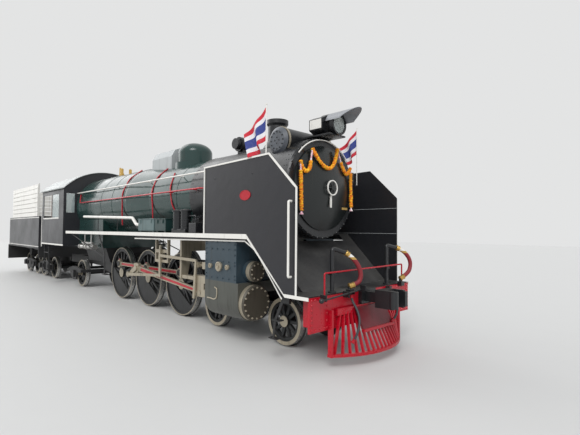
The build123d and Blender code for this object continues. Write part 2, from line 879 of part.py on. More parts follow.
def chimney():
    low = boiler_height + smokebox_r
    flare = turned_z(
        [
            (chimney_bore, low - 300), (chimney_bore + 12, low - 300), (chimney_bore + 30, low + 60),
            (
                chimney_bore + 24, chimney_top - 115,
            ), (chimney_bore + 56, chimney_top - 75), (chimney_bore + 56, chimney_top),
            (chimney_bore, chimney_top),
        ],
        chimney_back,
        0,
    )
    skirt = turned_z(
        [
            (chimney_bore + 10, low - 40), (chimney_bore + 130, low - 40), (chimney_bore + 40, low + 110),
            (chimney_bore + 10, low + 110),
        ],
        chimney_back,
        0,
    )
    around = bar_x(smokebox_r + seat_gap, smokebox_front, smokebox_end, 0, boiler_height)
    return [(flare + skirt) - around]


def feedwater_heater():
    drum = turned(
        [
            (-heater_half, 0), (
                -heater_half, heater_r - 60,
            ), (-heater_half + 40, heater_r), (heater_half - 40, heater_r),
            (heater_half, heater_r - 60), (heater_half, 0),
        ],
        heater_back,
        heater_height,
    )
    return [drum]


def arch_plate(radius, thick, half_angle, back_0, back_1, y, height):
    """Curved plate over a line along the locomotive, reaching the same angle down each side."""
    x_0, x_1 = sorted((at(back_0), at(back_1)))
    turns = [math.radians(t) for t in (-half_angle, 0.0, half_angle)]
    rims = []
    for r in (radius, radius + thick):
        rims.append([Vector(x_0, y + r * math.sin(t), up(height) + r * math.cos(t)) for t in turns])
    inner, outer = rims
    edges = [
        ThreePointArc(*inner), Line(
            inner[2], outer[2],
        ), ThreePointArc(*reversed(outer)), Line(outer[0], inner[0]),
    ]
    return extrude(make_face(edges), x_1 - x_0, dir=(1, 0, 0))


def headlamp():
    bezel = lamp_front + 70
    case_front = lamp_front + 150
    case_end = lamp_front + 440
    drum = turned_x(
        [
            (bezel + 30, 0), (
                bezel + 30, lamp_r - 22,
            ), (lamp_front, lamp_r - 22), (lamp_front, lamp_r + 10),
            (bezel, lamp_r + 10), (bezel, lamp_r - 8), (case_front + 20, lamp_r - 8), (case_front + 20, 0),
        ],
        0,
        lamp_height,
    )
    low = lamp_height - lamp_r
    top = lamp_height + lamp_r - 30
    case = cross_plate(
        [
            (-110, low), (
                -lamp_plate_y, lamp_height - 90,
            ), (-lamp_plate_y, lamp_height + 90), (-150, top), (150, top),
            (lamp_plate_y, lamp_height + 90), (lamp_plate_y, lamp_height - 90), (110, low),
        ],
        case_front,
        case_end,
    )
    shelf_low = boiler_height + smokebox_r + seat_gap
    shelf = block(lamp_front + 40, heater_back - heater_r - 10, -210, 210, shelf_low, shelf_low + 26)
    feet = [
        block(case_front + 20, case_end - 20, y - 15, y + 15, shelf_low + 20, low + 30) for y in (-80, 80)
    ]
    hood = arch_plate(lamp_r + 22, 6, 78, lamp_front - hood_reach, case_end - 150, 0, lamp_height)
    tip = Pos(at(lamp_front + 40), 0, up(lamp_height)) * extrude(Ellipse(hood_reach + 30, lamp_r + 36), 400)
    rear = block(lamp_front + 40, case_end, -lamp_r - 40, lamp_r + 40, lamp_height, lamp_height + 400)
    hood = (hood & tip) + (hood & rear)
    clips = [
        block(lamp_front + 20, lamp_front + 50, y - 15, y + 15, lamp_height + 60, lamp_height + 201)
        for y in (-120, 120)
    ]
    clips = [clip & bar_x(lamp_r + 25, lamp_front, bezel, 0, lamp_height) for clip in clips]
    return [fused([drum, case, shelf, hood] + feet + clips)]


def boiler_mountings():
    solids = []
    top = boiler_height + smokebox_r
    back = fitting_back
    drum = bar_y(150, back, -170, 170, top + 190) + bar_y(110, back, -260, 210, top + 190)
    foot = block(back - 90, back + 90, -120, 120, top - 60, top + 100)
    foot = foot - bar_x(smokebox_r + seat_gap, 0, 6000, 0, boiler_height)
    solids.append(drum + foot)
    for y in (-130, 130):
        valve_low = boiler_height + firebox_r
        valve = turned_z(
            [
                (0, valve_low - 40), (62, valve_low - 40), (62, valve_low + 60), (44, valve_low + 80),
                (44, valve_low + 210), (0, valve_low + 230),
            ],
            valves_back, y,
        )
        solids.append(valve - bar_x(firebox_r + seat_gap, 6700, 11000, 0, boiler_height))
    whistle = bar_z(
        28, whistle_back, 0, boiler_height + firebox_r + seat_gap, boiler_height + firebox_r + 300,
    )
    solids.append(whistle)
    return solids


def running_boards():
    solids = []
    for side in (-1, 1):
        inner = side * 700.0
        outer = side * board_half
        top = board_height
        plate = block(bend_back, board_end, inner, outer, top - board_plate, top)
        around = bar_x(firebox_r + seat_gap, cone_end, 12000, 0, boiler_height)
        around = around + turned_x(
            [
                (0, 0), (0, smokebox_r + seat_gap), (cone_front, smokebox_r + seat_gap),
                (cone_end, firebox_r + seat_gap), (cone_end, 0),
            ], 0, boiler_height
        )
        around = around + block(
            firebox_front - 1, 12000, -firebox_half - seat_gap, firebox_half + seat_gap, 1000, boiler_height,
        )
        plate = plate - around
        slope = side_plate(
            [
                (bend_back, top), (bend_back, top - board_plate), (foot_back, deck_height - board_plate),
                (foot_back, deck_height),
            ],
            side * 1000.0, outer,
        )
        solids += [plate + slope]
    deck = block(beam_thick, foot_back, -board_half, board_half, deck_height - board_plate, deck_height)
    apron = side_plate(
        [
            (foot_back - 60, deck_height), (foot_back - 60 - 16, deck_height), (1180.0, 1700.0),
            (1196.0, 1700.0),
        ],
        -990, 990,
    )
    apron = apron - bar_x(smokebox_r + seat_gap + 2, 0, 5000, 0, boiler_height)
    solids = [fused([solids[0], deck, solids[1], apron])]
    return solids


def deflectors():
    outline = [
        (deflector_rear, board_height), (
            deflector_rear, deflector_top - 40,
        ), (800, deflector_top), (280, 2540), (220, 2480),
        (220, deck_height), (foot_back, deck_height), (bend_back, board_height),
    ]
    solids = []
    for side in (-1, 1):
        y_1 = side * board_half
        y_0 = side * (board_half - deflector_plate)
        sheet = side_plate(outline, y_0, y_1)
        stays = []
        for back, height in ((1200, 2760), (2200, 2760)):
            reach = math.sqrt(max(0.0, smokebox_r**2 - (height - boiler_height) ** 2))
            stay = bar_y(16, back, side * (reach - 30), y_0, height)
            stays.append(stay - bar_x(smokebox_r + seat_gap, 0, smokebox_end, 0, boiler_height))
        solids.append(fused([sheet] + stays))
    return solids


def white_trim():
    solids = []
    t = 26.0
    for side in (-1, 1):
        y_0 = side * board_half
        y_1 = side * (board_half + 12.0)
        edge = side_plate(
            [
                (
                    0, deck_height - board_edge * 0.6,
                ), (0, deck_height), (foot_back, deck_height), (bend_back, board_height),
                (board_end, board_height), (board_end, board_height - board_edge), (
                    bend_back - 34, board_height - board_edge,
                ),
                (foot_back - 34, deck_height - board_edge * 0.6),
            ],
            y_0, y_1,
        )
        outer = [
            (deflector_rear, board_height), (
                deflector_rear, deflector_top - 40,
            ), (800, deflector_top), (280, 2540), (220, 2480),
            (220, deck_height),
        ]
        inner = [
            (220 + t, deck_height), (220 + t, 2470), (280 + t * 1.1, 2522), (
                800 + t * 0.5, deflector_top - t,
            ),
            (deflector_rear - t, deflector_top - 40 - t), (deflector_rear - t, board_height),
        ]
        bead = side_plate(outer + inner, y_0, y_1)
        solids.append(edge + bead)
    return solids


def boiler_space():
    """What the smokebox and boiler take up, with the gap that anything seated on them keeps."""
    ends = [
        (smokebox_front, smokebox_r), (smokebox_end, smokebox_r), (smokebox_end, barrel_r),
        (cone_front, barrel_r),
    ]
    ends += [(cone_end, firebox_r), (backhead_back, firebox_r)]
    outline = [(smokebox_front, 0.0)] + [(b, r + seat_gap) for b, r in ends] + [(backhead_back, 0.0)]
    return turned_x(outline, 0, boiler_height)


def handrails():
    solids = []
    taken = boiler_space()
    height = boiler_height + rail_over
    for side in (-1, 1):
        pieces = [bar_x(rail_r, rail_front, cab_front - seat_gap, side * rail_y, height)]
        for back in rail_posts:
            pieces.append(bar_y(rail_post_r, back, side * 600.0, side * rail_y, height) - taken)
        solids.append(fused(pieces))
        skin = side * (board_half + seat_gap)
        out = side * (board_half + 60.0)
        route = [(330, skin, 2290), (330, out, 2290), (330, out, 1240), (330, skin, 1240)]
        solids.append(tube_run(route, rail_r, 20))
    return solids


def front_beam():
    beam = block(0, beam_thick, -beam_half, beam_half, beam_low, deck_height - board_plate)
    ribs = [
        block(beam_thick, beam_thick + 160, s * 1180, s * 1200, beam_low + 60, deck_height - board_plate)
        for s in (-1, 1)
    ]
    return [fused([beam] + ribs)]


def pilot():
    top = pilot_top
    pieces = []
    bars = 18
    for i in range(bars):
        share = -1 + 2 * (i + 0.5) / bars
        foot_y = share * pilot_half
        head_y = share * 720.0
        reach = pilot_reach * (1 - abs(share) ** 2.2)
        foot = (-reach - 20.0, foot_y)
        x_0, x_1 = at(-40.0), at(foot[0])
        bar = loft_bar((x_0, head_y, up(top)), (x_1, foot_y, up(pilot_low + 20)), 26.0, 40.0)
        pieces.append(bar)
    head = block(-20.0, -62.0, -760, 760, top - 45, top + 45)
    pieces.append(head)
    segments = 12
    rail_points = []
    for i in range(segments + 1):
        share = -1 + 2 * i / segments
        rail_points.append((at(-pilot_reach * (1 - abs(share) ** 2.2) - 20.0), share * (pilot_half + 20)))
    front = [(x + 30.0, y) for x, y in rail_points]
    back_side = [(x - 30.0, y) for x, y in reversed(rail_points)]
    face = make_face(Polyline(*(front + back_side), close=True))
    foot_rail = Pos(0, 0, up(pilot_low)) * extrude(face, 42.0)
    pieces.append(foot_rail)
    for side in (-1, 1):
        pieces.append(block(-70.0, 0.0, side * (pilot_half - 20), side * (pilot_half + 20), pilot_low, top + 45))
    return [fused(pieces)]


def loft_bar(top_point, foot_point, wide, deep):
    """Flat bar between two points, its section level at both ends."""
    top_face = Pos(*top_point) * Rectangle(deep, wide)
    foot_face = Pos(*foot_point) * Rectangle(deep, wide)
    return loft([top_face, foot_face])


def front_coupler():
    shank = block(0.0, -300.0, -75, 75, coupler_height - 75, coupler_height + 75)
    pocket = block(0.0, -60.0, -190, 190, coupler_height - 100, coupler_height + 110)
    head = Pos(at(-430.0), 0, up(coupler_height)) * Box(300, 330, 260)
    throat = block(-430.0, -coupler_reach - 10, -60, 120, coupler_height - 200, coupler_height + 200)
    knuckle = bar_z(70.0, -(coupler_reach - 70.0), -100, coupler_height - 120, coupler_height + 120)
    guard = block(-500.0, -coupler_reach + 10, 120, 190, coupler_height - 110, coupler_height + 110)
    arm = block(-480.0, -coupler_reach + 70, -165, -60, coupler_height - 120, coupler_height + 120)
    return [fused([shank, pocket, (head - throat), knuckle, guard, arm])]


def cab_arch(half, eave, crest, back_0, back_1):
    """Solid with upright sides under an arched top."""
    x_0, x_1 = sorted((at(back_0), at(back_1)))
    low = up(cab_low)
    side_edges = Polyline(
        Vector(x_0, half, up(eave)), Vector(x_0, half, low), Vector(x_0, -half, low), Vector(
            x_0, -half, up(eave),
        )
    )
    arc = ThreePointArc(
        Vector(x_0, -half, up(eave)), Vector(x_0, 0, up(crest)), Vector(x_0, half, up(eave)),
    )
    return extrude(make_face([*side_edges.edges(), arc]), x_1 - x_0, dir=(1, 0, 0))


def cab_body():
    t = cab_plate
    outer = cab_arch(cab_half, cab_eave, cab_crest, cab_front, cab_rear)
    inner = cab_arch(cab_half - t, cab_eave, cab_crest - t, cab_front + t, cab_rear + 100)
    inner = inner & block(cab_front, cab_rear + 200, -3000, 3000, cab_low + 40, 5000)
    shell = outer - inner
    shell = shell - block(cab_front + t, cab_rear + 200, -3000, 3000, cab_eave, 5000)
    hole = bar_x(firebox_r + seat_gap, 9000, 11500, 0, boiler_height)
    hole = hole + block(9000, 11500, -firebox_half - seat_gap, firebox_half + seat_gap, 1000, boiler_height)
    shell = shell - hole
    for side in (-1, 1):
        window = block(window_ends[0], window_ends[1], side * 1200, side * 1400, window_low, window_high)
        shell = shell - window
        front_window = block(
            cab_front - 20, cab_front + 60, side * 985, side * 1230, window_low + 150, window_high,
        )
        shell = shell - front_window
    return [shell]


def cab_roof():
    over = 60.0
    t = 14.0
    outer = cab_arch(
        cab_half + over, cab_eave - 20, cab_crest + seat_gap + t, cab_front - 40, cab_rear + 160,
    )
    inner = cab_arch(
        cab_half + over - t, cab_eave - 20, cab_crest + seat_gap, cab_front - 200, cab_rear + 300,
    )
    roof = outer - inner
    keep = block(cab_front - 60, cab_rear + 400, -3000, 3000, cab_eave - 20, 5000)
    roof = roof & keep
    back_front = cab_arch(
        cab_half + seat_gap, cab_eave, cab_crest + seat_gap, cab_front - 1, cab_front + cab_plate + 1,
    )
    ledges = [
        block(
            cab_front + cab_plate + 1, cab_rear, s * (cab_half - 8), s * (cab_half + over - 2),
            cab_eave + 0.2, cab_eave + 14,
        )
        for s in (-1, 1)
    ]
    return [fused([roof - back_front] + ledges)]


def ashpan():
    pan = cross_plate(
        [(-700, firebox_low), (-560, 900), (560, 900), (700, firebox_low)], firebox_front + 60, 10250,
    )
    return [pan - block(8000, 13000, -(frame_in + frame_thick), frame_in + frame_thick, 0, frame_top)]


def tender_frame():
    beam = block(tender_end - 40, tender_end, -tender_half, tender_half, 560, tender_deck)
    deck = block(tender_front, tender_end, -tender_half, tender_half, tender_deck - 40, tender_deck)
    sills = [block(tender_front, tender_end - 40, s * 520, s * 600, 960, tender_deck - 40) for s in (-1, 1)]
    bolsters = []
    for back in tender_bogies:
        low = tender_bogie_top + working_gap
        bolster = block(back - 170, back + 170, -700, 700, low, tender_deck - 40)
        bolsters.append(bolster + bar_z(tender_pin_r, back, 0, 560, low + 5))
    front = block(tender_front, tender_front + 60, -tender_half, tender_half, 830, tender_deck)
    bar = block(drawbar_back, tender_front + 200, -70, 70, drawbar_low, drawbar_high)
    eye = bar_z(110, drawbar_back, 0, drawbar_low, drawbar_high)
    draw = (bar + eye) - bar_z(drawbar_pin_r + running_gap, drawbar_back, 0, 700, 960)
    rear = coupler_height
    shank = block(tender_end, overall - coupler_reach - 300, -75, 75, rear - 75, rear + 75)
    head = block(overall - coupler_reach - 300, overall - coupler_reach, -165, 165, rear - 130, rear + 130)
    throat = block(
        overall - coupler_reach - 200, overall - coupler_reach + 10, -60, 120, rear - 200, rear + 200,
    )
    return [fused([beam, deck, front, draw, shank, head - throat] + sills + bolsters)]


def tender_tank():
    tank = block(tender_front + 40, tender_end - 200, -tender_half, tender_half, tender_deck, tank_top)
    tank = tank - block(tender_front, 15600, -760, 760, tender_deck + 60, tank_top + 10)
    pieces = []
    for s in (-1, 1):
        for i in range(7):
            low = tank_top + i * 172.0
            pieces.append(
                block(
                    tender_front + 300, tender_end - 700, s * (tender_half - 30), s * tender_half, low,
                    low + 150,
                )
            )
        for i in range(6):
            post = tender_front + 300 + i * (tender_end - tender_front - 1060) / 5
            pieces.append(block(post, post + 60, s * (tender_half - 70), s * (tender_half - 30), tank_top, bin_top))
    for i in range(7):
        low = tank_top + i * 172.0
        pieces.append(block(tender_end - 730, tender_end - 700, -tender_half + 30, tender_half - 30, low, low + 150))
    for y in (-860, -290, 290, 860):
        pieces.append(block(tender_end - 700, tender_end - 660, y - 30, y + 30, tank_top, bin_top))
    return [fused([tank] + pieces)]


def tender_bogie(back):
    r = tender_wheel_d / 2
    half = tender_bogie_base / 2
    out = bogie_out
    thick = 70.0
    pieces = []
    outline = [
        (
            back - half - 190, r - 100,
        ), (back - half - 190, r + 120), (back - 330, r + 190), (back + 330, r + 190),
        (
            back + half + 190, r + 120,
        ), (back + half + 190, r - 100), (back + half - 190, r - 100), (back + 330, r - 200),
        (back - 330, r - 200), (back - half + 190, r - 100),
    ]
    for side in (-1, 1):
        plate = side_plate(outline, side * out, side * (out + thick))
        for axle in (back - half, back + half):
            cap = block(
                axle - 100, axle + 100, side * (out + thick), side * (out + thick + 60), r - 90, r + 100,
            )
            plate = plate + cap
        window = [
            block(back + s * 330 - 110, back + s * 330 + 110, -900, 900, r - 60, r + 90) for s in (-1, 1)
        ]
        plate = plate - window[0] - window[1]
        for axle in (back - half, back + half):
            plate = plate - bar_y(
                carrying_axle_r + running_gap, axle, -(out + bogie_axle_in + 2), out + bogie_axle_in + 2, r,
            )
        pieces.append(plate)
    bolster = block(back - 150, back + 150, -out, out, r + 90, r + 190)
    bolster = bolster + bar_z(190.0, back, 0, r + 90, tender_bogie_top)
    bolster = bolster - bar_z(tender_pin_r + running_gap, back, 0, 400, 1100)
    return [fused(pieces + [bolster])]


save("main_frames", [main_frames()])
save("axle_boxes", axle_boxes())
# One wheel of each kind serves every axle that has it.
crank_wheels = {name: driving_wheel(start) for name, start in (("main", 120.0), ("coupled", 190.0))}
for number, back in enumerate(driver_backs, 1):
    wheel_kind = crank_wheels["main" if number == 2 else "coupled"]
    turns = (crank_right, crank_right + quartering)
    save(f"driving_axle_{number}", [axle(back, driver_d, wheel_kind, driver_axle_r, tyre_inside, *turns)])
lead_wheel = wheel(lead_d / 2, 10, 92.0, 58.0, 44.0)
for number, back in enumerate(lead_backs, 1):
    save(f"lead_axle_{number}", [axle(back, lead_d, lead_wheel, carrying_axle_r, tyre_inside)])
trail_wheel = wheel(trail_d / 2, 10, 92.0, 58.0, 44.0)
save("trailing_axle", [axle(trail_back, trail_d, trail_wheel, carrying_axle_r, truck_out + truck_axle_in)])
tender_wheel = wheel(tender_wheel_d / 2, 8, 92.0, 58.0, 44.0)
for number, centre in enumerate(tender_bogies):
    for place in (-1, 1):
        index = 2 * number + (1 if place < 0 else 2)
        back = centre + place * tender_bogie_base / 2
        save(
            f"tender_axle_{index}",
            [axle(back, tender_wheel_d, tender_wheel, carrying_axle_r, bogie_out + bogie_axle_in)],
        )
    save(f"tender_bogie_{number + 1}", tender_bogie(centre))
for side, name in ((-1, "right"), (1, "left")):
    save(f"coupling_rod_{name}", [coupling_rod(side)])
    save(f"main_rod_{name}", [main_rod(side)])
    save(f"crosshead_{name}", [crosshead(side)])
save("lead_bogie_frame", [lead_bogie()])
save("trailing_truck", [trailing_truck()])
casings, chests, covers = cylinders()
save("cylinder_casings", casings)
save("valve_chests", chests)
save("cylinder_covers", covers)
save("guide_bars", guide_bars())
save("valve_gear", valve_gear())
save("smokebox", smokebox())
save("smokebox_door", [smokebox_door()])
save("boiler", [boiler()])
save("domes", domes())
save("chimney", chimney())
save("feedwater_heater", feedwater_heater())
save("headlamp", headlamp())
save("boiler_mountings", boiler_mountings())
save("running_boards", running_boards())
save("smoke_deflectors", deflectors())
save("white_trim", white_trim())
save("handrails", handrails())
save("front_beam", front_beam())
save("pilot", pilot())
save("front_coupler", front_coupler())
save("cab_body", cab_body())
save("cab_roof", cab_roof())
save("ashpan", ashpan())
save("tender_frame", tender_frame())
save("tender_tank", tender_tank())
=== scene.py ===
import math

import bpy
import bmesh
from mathutils import Matrix, Vector


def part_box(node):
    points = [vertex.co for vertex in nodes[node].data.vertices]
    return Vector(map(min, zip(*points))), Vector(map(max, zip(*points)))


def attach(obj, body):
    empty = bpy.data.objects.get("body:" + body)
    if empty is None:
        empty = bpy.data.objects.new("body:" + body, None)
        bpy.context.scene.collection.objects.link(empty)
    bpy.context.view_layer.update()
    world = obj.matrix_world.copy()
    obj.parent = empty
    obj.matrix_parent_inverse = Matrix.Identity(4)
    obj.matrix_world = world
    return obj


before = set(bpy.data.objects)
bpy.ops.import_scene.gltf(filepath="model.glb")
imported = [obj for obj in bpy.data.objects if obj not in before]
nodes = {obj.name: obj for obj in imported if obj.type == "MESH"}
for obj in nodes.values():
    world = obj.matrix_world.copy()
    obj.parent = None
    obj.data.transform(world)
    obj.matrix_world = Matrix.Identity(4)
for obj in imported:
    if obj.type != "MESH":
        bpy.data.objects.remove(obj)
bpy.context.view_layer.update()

railTop = 0.028  # the flanges reach this far below the rail top
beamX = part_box("front_beam")[1].x
boilerAxis = 2.6  # height of the boiler's middle over the rail


def place(back, y, height):  # back is measured from the front face of the beam
    return Vector((beamX - back, y, railTop + height))


# Camera, as the photograph was taken
photoCamera = {"ahead": 3.7022, "side": -5.3296, "eye": 1.8838, "yaw": -45.2297, "pitch": 1.7906,
               "roll": 0.4114, "lens": 25.5, "sensor": 36.0, "reach": 400.0}


def makeCamera(settings):
    yaw, pitch, roll = (math.radians(settings[k]) for k in ("yaw", "pitch", "roll"))
    forward = Vector((math.sin(yaw) * math.cos(pitch), math.cos(yaw) * math.cos(pitch), math.sin(pitch)))
    right = Vector((math.cos(yaw), -math.sin(yaw), 0.0))
    above = right.cross(forward)
    rolledRight = right * math.cos(roll) + above * math.sin(roll)
    rolledAbove = above * math.cos(roll) - right * math.sin(roll)
    data = bpy.data.cameras.new("photoCamera")
    data.lens = settings["lens"]
    data.sensor_width = settings["sensor"]
    data.sensor_fit = "HORIZONTAL"
    data.clip_end = settings["reach"]
    camera = bpy.data.objects.new("photoCamera", data)
    axes = Matrix((rolledRight, rolledAbove, -forward)).transposed()
    eye = place(-settings["ahead"], settings["side"], settings["eye"])
    camera.matrix_world = Matrix.Translation(eye) @ axes.to_4x4()
    bpy.context.scene.collection.objects.link(camera)
    bpy.context.scene.camera = camera


makeCamera(photoCamera)
print("camera ready")


def operator(operation, swapped=False):
    def apply(self, other):
        return self.graph.maths(operation, *((other, self) if swapped else (self, other)))
    return apply


class Num:  # a socket that takes part in sums
    def __init__(self, graph, socket):
        self.graph = graph
        self.socket = socket

    __add__ = __radd__ = operator("ADD")
    __mul__ = __rmul__ = operator("MULTIPLY")
    __sub__, __rsub__ = operator("SUBTRACT"), operator("SUBTRACT", True)
    __rtruediv__ = operator("DIVIDE", True)
    __pow__, __gt__, __lt__ = operator("POWER"), operator("GREATER_THAN"), operator("LESS_THAN")

    def __abs__(self):
        return self.graph.maths("ABSOLUTE", self)


class Graph:  # what shader trees and geometry trees share
    def node(self, kind, settings=(), sockets=(), out=0):
        made = self.tree.nodes.new(kind)
        for key, value in dict(settings).items():
            if key == "stops":
                while len(made.color_ramp.elements) < len(value):
                    made.color_ramp.elements.new(0.5)
                for element, (position, colour) in zip(made.color_ramp.elements, value):
                    element.position = position
                    element.color = (*colour, 1.0)
            else:
                setattr(made, key, value)
        for key, value in dict(sockets).items():
            self.put(made.inputs[key], value)
        return Num(self, made.outputs[out])

    def put(self, socket, value):
        if isinstance(value, Num):
            self.tree.links.new(value.socket, socket)
        elif hasattr(value, "__len__") and len(value) == 3 and socket.type == "RGBA":
            socket.default_value = (*value, 1.0)
        else:
            socket.default_value = value

    def maths(self, operation, *values):
        return self.node("ShaderNodeMath", {"operation": operation}, dict(enumerate(values)))

    def output(self, number, label):
        return Num(self, number.socket.node.outputs[label])


class Finish(Graph):  # a material
    def __init__(self, name):
        self.material = bpy.data.materials.new(name)
        self.material.use_nodes = True
        self.tree = self.material.node_tree
        self.tree.nodes.clear()
        end = self.tree.nodes.new("ShaderNodeOutputMaterial")
        self.shader = self.tree.nodes.new("ShaderNodeBsdfPrincipled")
        self.tree.links.new(self.shader.outputs[0], end.inputs[0])

    def object(self):
        return self.node("ShaderNodeTexCoord", (), (), 3)

    def flatMap(self):  # a sheet's own two directions
        return self.split(self.node("ShaderNodeTexCoord", (), (), 2))

    def split(self, vector):
        made = self.node("ShaderNodeSeparateXYZ", (), {0: vector})
        return [self.output(made, label) for label in "XYZ"]

    def where(self):  # back from the beam, across, and height over the rail
        x, y, z = self.split(self.object())
        return beamX - x, y, z - railTop

    def facing(self):
        return self.split(self.node("ShaderNodeNewGeometry", (), (), 1))

    def noise(self, scale, detail=3.0, roughness=0.5, stretch=None):
        spot = self.object()
        if stretch is not None:
            spot = self.node("ShaderNodeMapping", (), {"Vector": spot, "Scale": stretch})
        sockets = {"Vector": spot, "Scale": scale, "Detail": detail, "Roughness": roughness}
        return self.node("ShaderNodeTexNoise", (), sockets)

    def ramp(self, value, *stops):
        return self.node("ShaderNodeValToRGB", {"stops": stops}, {0: value})

    def step(self, value, low, high):
        sockets = {"Value": value, "From Min": low, "From Max": high}
        return self.node("ShaderNodeMapRange", {"interpolation_type": "SMOOTHSTEP"}, sockets)

    def inside(self, value, low, high):
        return (value > low) * (value < high)

    def blend(self, share, first, second):
        return self.node("ShaderNodeMix", {"data_type": "RGBA"}, {0: share, 6: first, 7: second}, 2)

    def bump(self, height, strength, distance):
        return self.node(
            "ShaderNodeBump", (), {"Height": height, "Strength": strength, "Distance": distance},
        )

    def shade(self, **sockets):
        for key, value in sockets.items():
            self.put(self.shader.inputs[key.replace("_", " ")], value)
        return self.material


# Colours that more than one piece carries: colour, roughness, metal
tones = {
    "tanSteel": ((0.42, 0.37, 0.28), 0.42, 0.45),
    "brightSteel": ((0.55, 0.54, 0.52), 0.28, 0.8),
    "brass": ((0.62, 0.4, 0.12), 0.3, 0.85),
    "black": ((0.012, 0.013, 0.015), 0.34, 0.0),
    "white": ((0.8, 0.78, 0.73), 0.42, 0.0),
    "red": ((0.47, 0.01, 0.024), 0.34, 0.0),
    "darkFace": ((0.075, 0.066, 0.05), 0.5, 0.25),
    "paleGrey": ((0.42, 0.44, 0.44), 0.48, 0.0),
    "hoseBlack": ((0.03, 0.04, 0.044), 0.5, 0.0),
    "hoodGrey": ((0.3, 0.31, 0.33), 0.3, 0.0),
    "discGrey": ((0.095, 0.105, 0.12), 0.36, 0.0),
}
dustColour = (0.17, 0.165, 0.15)
grimeColour = (0.026, 0.023, 0.019)


# A coat of paint or bare metal: marks gives (mask, tone) pairs laid over it, then streaks and dust
def coat(name, colour, rough, dust=0.3, grime=0.4, metal=0.0, cloud=0.35, wave=0.3, marks=None):
    finish = Finish(name)
    up = finish.facing()[2]
    clouds = finish.noise(0.9, 4.0, 0.6)
    fine = finish.noise(34.0, 3.0, 0.6)
    streaks = finish.noise(3.0, 4.0, 0.55, (4.0, 4.0, 0.35))
    lying = finish.step(up, 0.45, 0.98) * finish.step(clouds + 0.25 * fine, 0.42, 0.85) * dust
    dirty = finish.step(streaks, 0.52, 0.8) * grime
    patchy = finish.step(clouds, 0.3, 0.7)
    shade = finish.blend(patchy * cloud, colour, tuple(0.62 * c for c in colour))
    roughness, metallic = rough + 0.14 * (patchy - 0.5), metal
    for mask, tone in marks(finish) if marks else ():
        toneColour, toneRough, toneMetal = tones[tone]
        shade = finish.blend(mask, shade, toneColour)
        roughness = roughness * (1 - mask) + toneRough * mask
        metallic = metallic * (1 - mask) + toneMetal * mask
    shade = finish.blend(dirty, shade, grimeColour)
    shade = finish.blend(lying, shade, dustColour)
    wavy = finish.noise(5.5, 2.0, 0.4)
    return finish.shade(
        Base_Color=shade,
        Metallic=metallic,
        Roughness=roughness + 0.25 * lying + 0.18 * dirty + 0.1 * (fine - 0.5),
        Normal=finish.bump(wavy + 0.06 * fine, wave, 0.012),
    )


# Masks that split one node's paint, each by its place on the engine
def farFrom(along, rise):
    return (along * along + rise * rise) ** 0.5


wheel = {"face": 0.59, "hubFace": 0.592, "worn": 0.003}


def wheelMarks(back, radius, ring, hub):
    def marks(finish):
        b, y, h = finish.where()
        far = farFrom(b - back, h - radius)
        tyre = (far > radius - ring) * (abs(y) > wheel["face"])
        tread = (far > radius - wheel["worn"]) * (abs(finish.facing()[1]) < 0.5)
        disc = (far < hub) * (abs(y) > wheel["hubFace"])
        return [(tyre, "tanSteel"), (disc, "tanSteel"), (tread, "brightSteel")]
    return marks


def rodMarks(low, high):  # how far out from the middle the floor of a rod's flutes lies
    def marks(finish):
        floor = finish.inside(abs(finish.where()[1]), low, high)
        return [(floor * (abs(finish.facing()[1]) > 0.6), "red")]
    return marks


def behind(back, tone):  # all of a piece that lies further back than this
    return lambda finish: [(finish.where()[0] > back, tone)]


door = {"nose": 0.7106, "ring": (0.106, 0.136), "wheelBack": 0.68, "leverHalf": 0.026,
        "leverRise": (-0.34, -0.13)}


def doorMarks(finish):
    b, y, h = finish.where()
    rise = h - boilerAxis
    ring = finish.inside(farFrom(y, rise), *door["ring"]) * (b < door["wheelBack"])
    lever = (abs(y) < door["leverHalf"]) * finish.inside(rise, *door["leverRise"]) * (b < door["nose"])
    return [(ring, "white"), (lever, "white")]


seams = [(2.296, 2.302), (1.836, 1.842)]  # between the sheets of a smoke deflector


def deflectorMarks(finish):
    y, h = finish.where()[1:]
    inner = finish.facing()[1] * y < 0  # the side that looks at the boiler
    lines = [finish.inside(h, *seam) for seam in seams]
    # The side that looks at the boiler is blended toward black as painted shade; the seams on that side are
    # pale grey lines
    return [(inner * 0.6, "black"), (inner * (lines[0] + lines[1]), "paleGrey")]


def coverMarks(finish):
    return [(finish.facing()[0] > 0.6, "darkFace"), (finish.where()[0] > 2.3, "black")]


def heaterMarks(finish):
    return [(abs(finish.facing()[1]) > 0.7, "discGrey")]


hood = {"height": 3.648, "radius": 0.19, "back": 0.66}


def hoodMarks(finish):
    b, y, h = finish.where()
    rise = h - hood["height"]
    return [((farFrom(y, rise) > hood["radius"]) * (b < hood["back"]) * (rise > 0.0), "hoodGrey")]


# White lines of the cab and the tender, as limits of height or back; side is how far out they are. Above the
# slats' height the tender carries painted light: white, for boards lit bright from behind
cabLines = {"foot": (1.35, 1.395), "sill": (2.206, 2.228), "sillBacks": (10.93, 12.64), "side": 1.3}
tenderLines = {"top": (2.281, 2.305), "foot": (1.215, 1.239), "slats": 2.344, "side": 1.286}


def cabMarks(finish):
    b, y, h = finish.where()
    side = abs(y) > cabLines["side"]
    sill = finish.inside(h, *cabLines["sill"]) * finish.inside(b, *cabLines["sillBacks"])
    return [(side * finish.inside(h, *cabLines["foot"]), "white"), (side * sill, "white")]


def tenderMarks(finish):
    y, h = finish.where()[1:]
    lines = finish.inside(h, *tenderLines["top"]) + finish.inside(h, *tenderLines["foot"])
    # Painted light: all of the tender above the slats' height is white, for boards lit bright from behind
    return [((abs(y) > tenderLines["side"]) * lines, "white"), (h > tenderLines["slats"], "white")]


# Heights at which the hoses change colour; the far one's upper end is higher
hoseLines = {"raised": 0.045, "band": (1.462, 1.5), "thin": 1.03, "collar": (0.925, 1.0)}


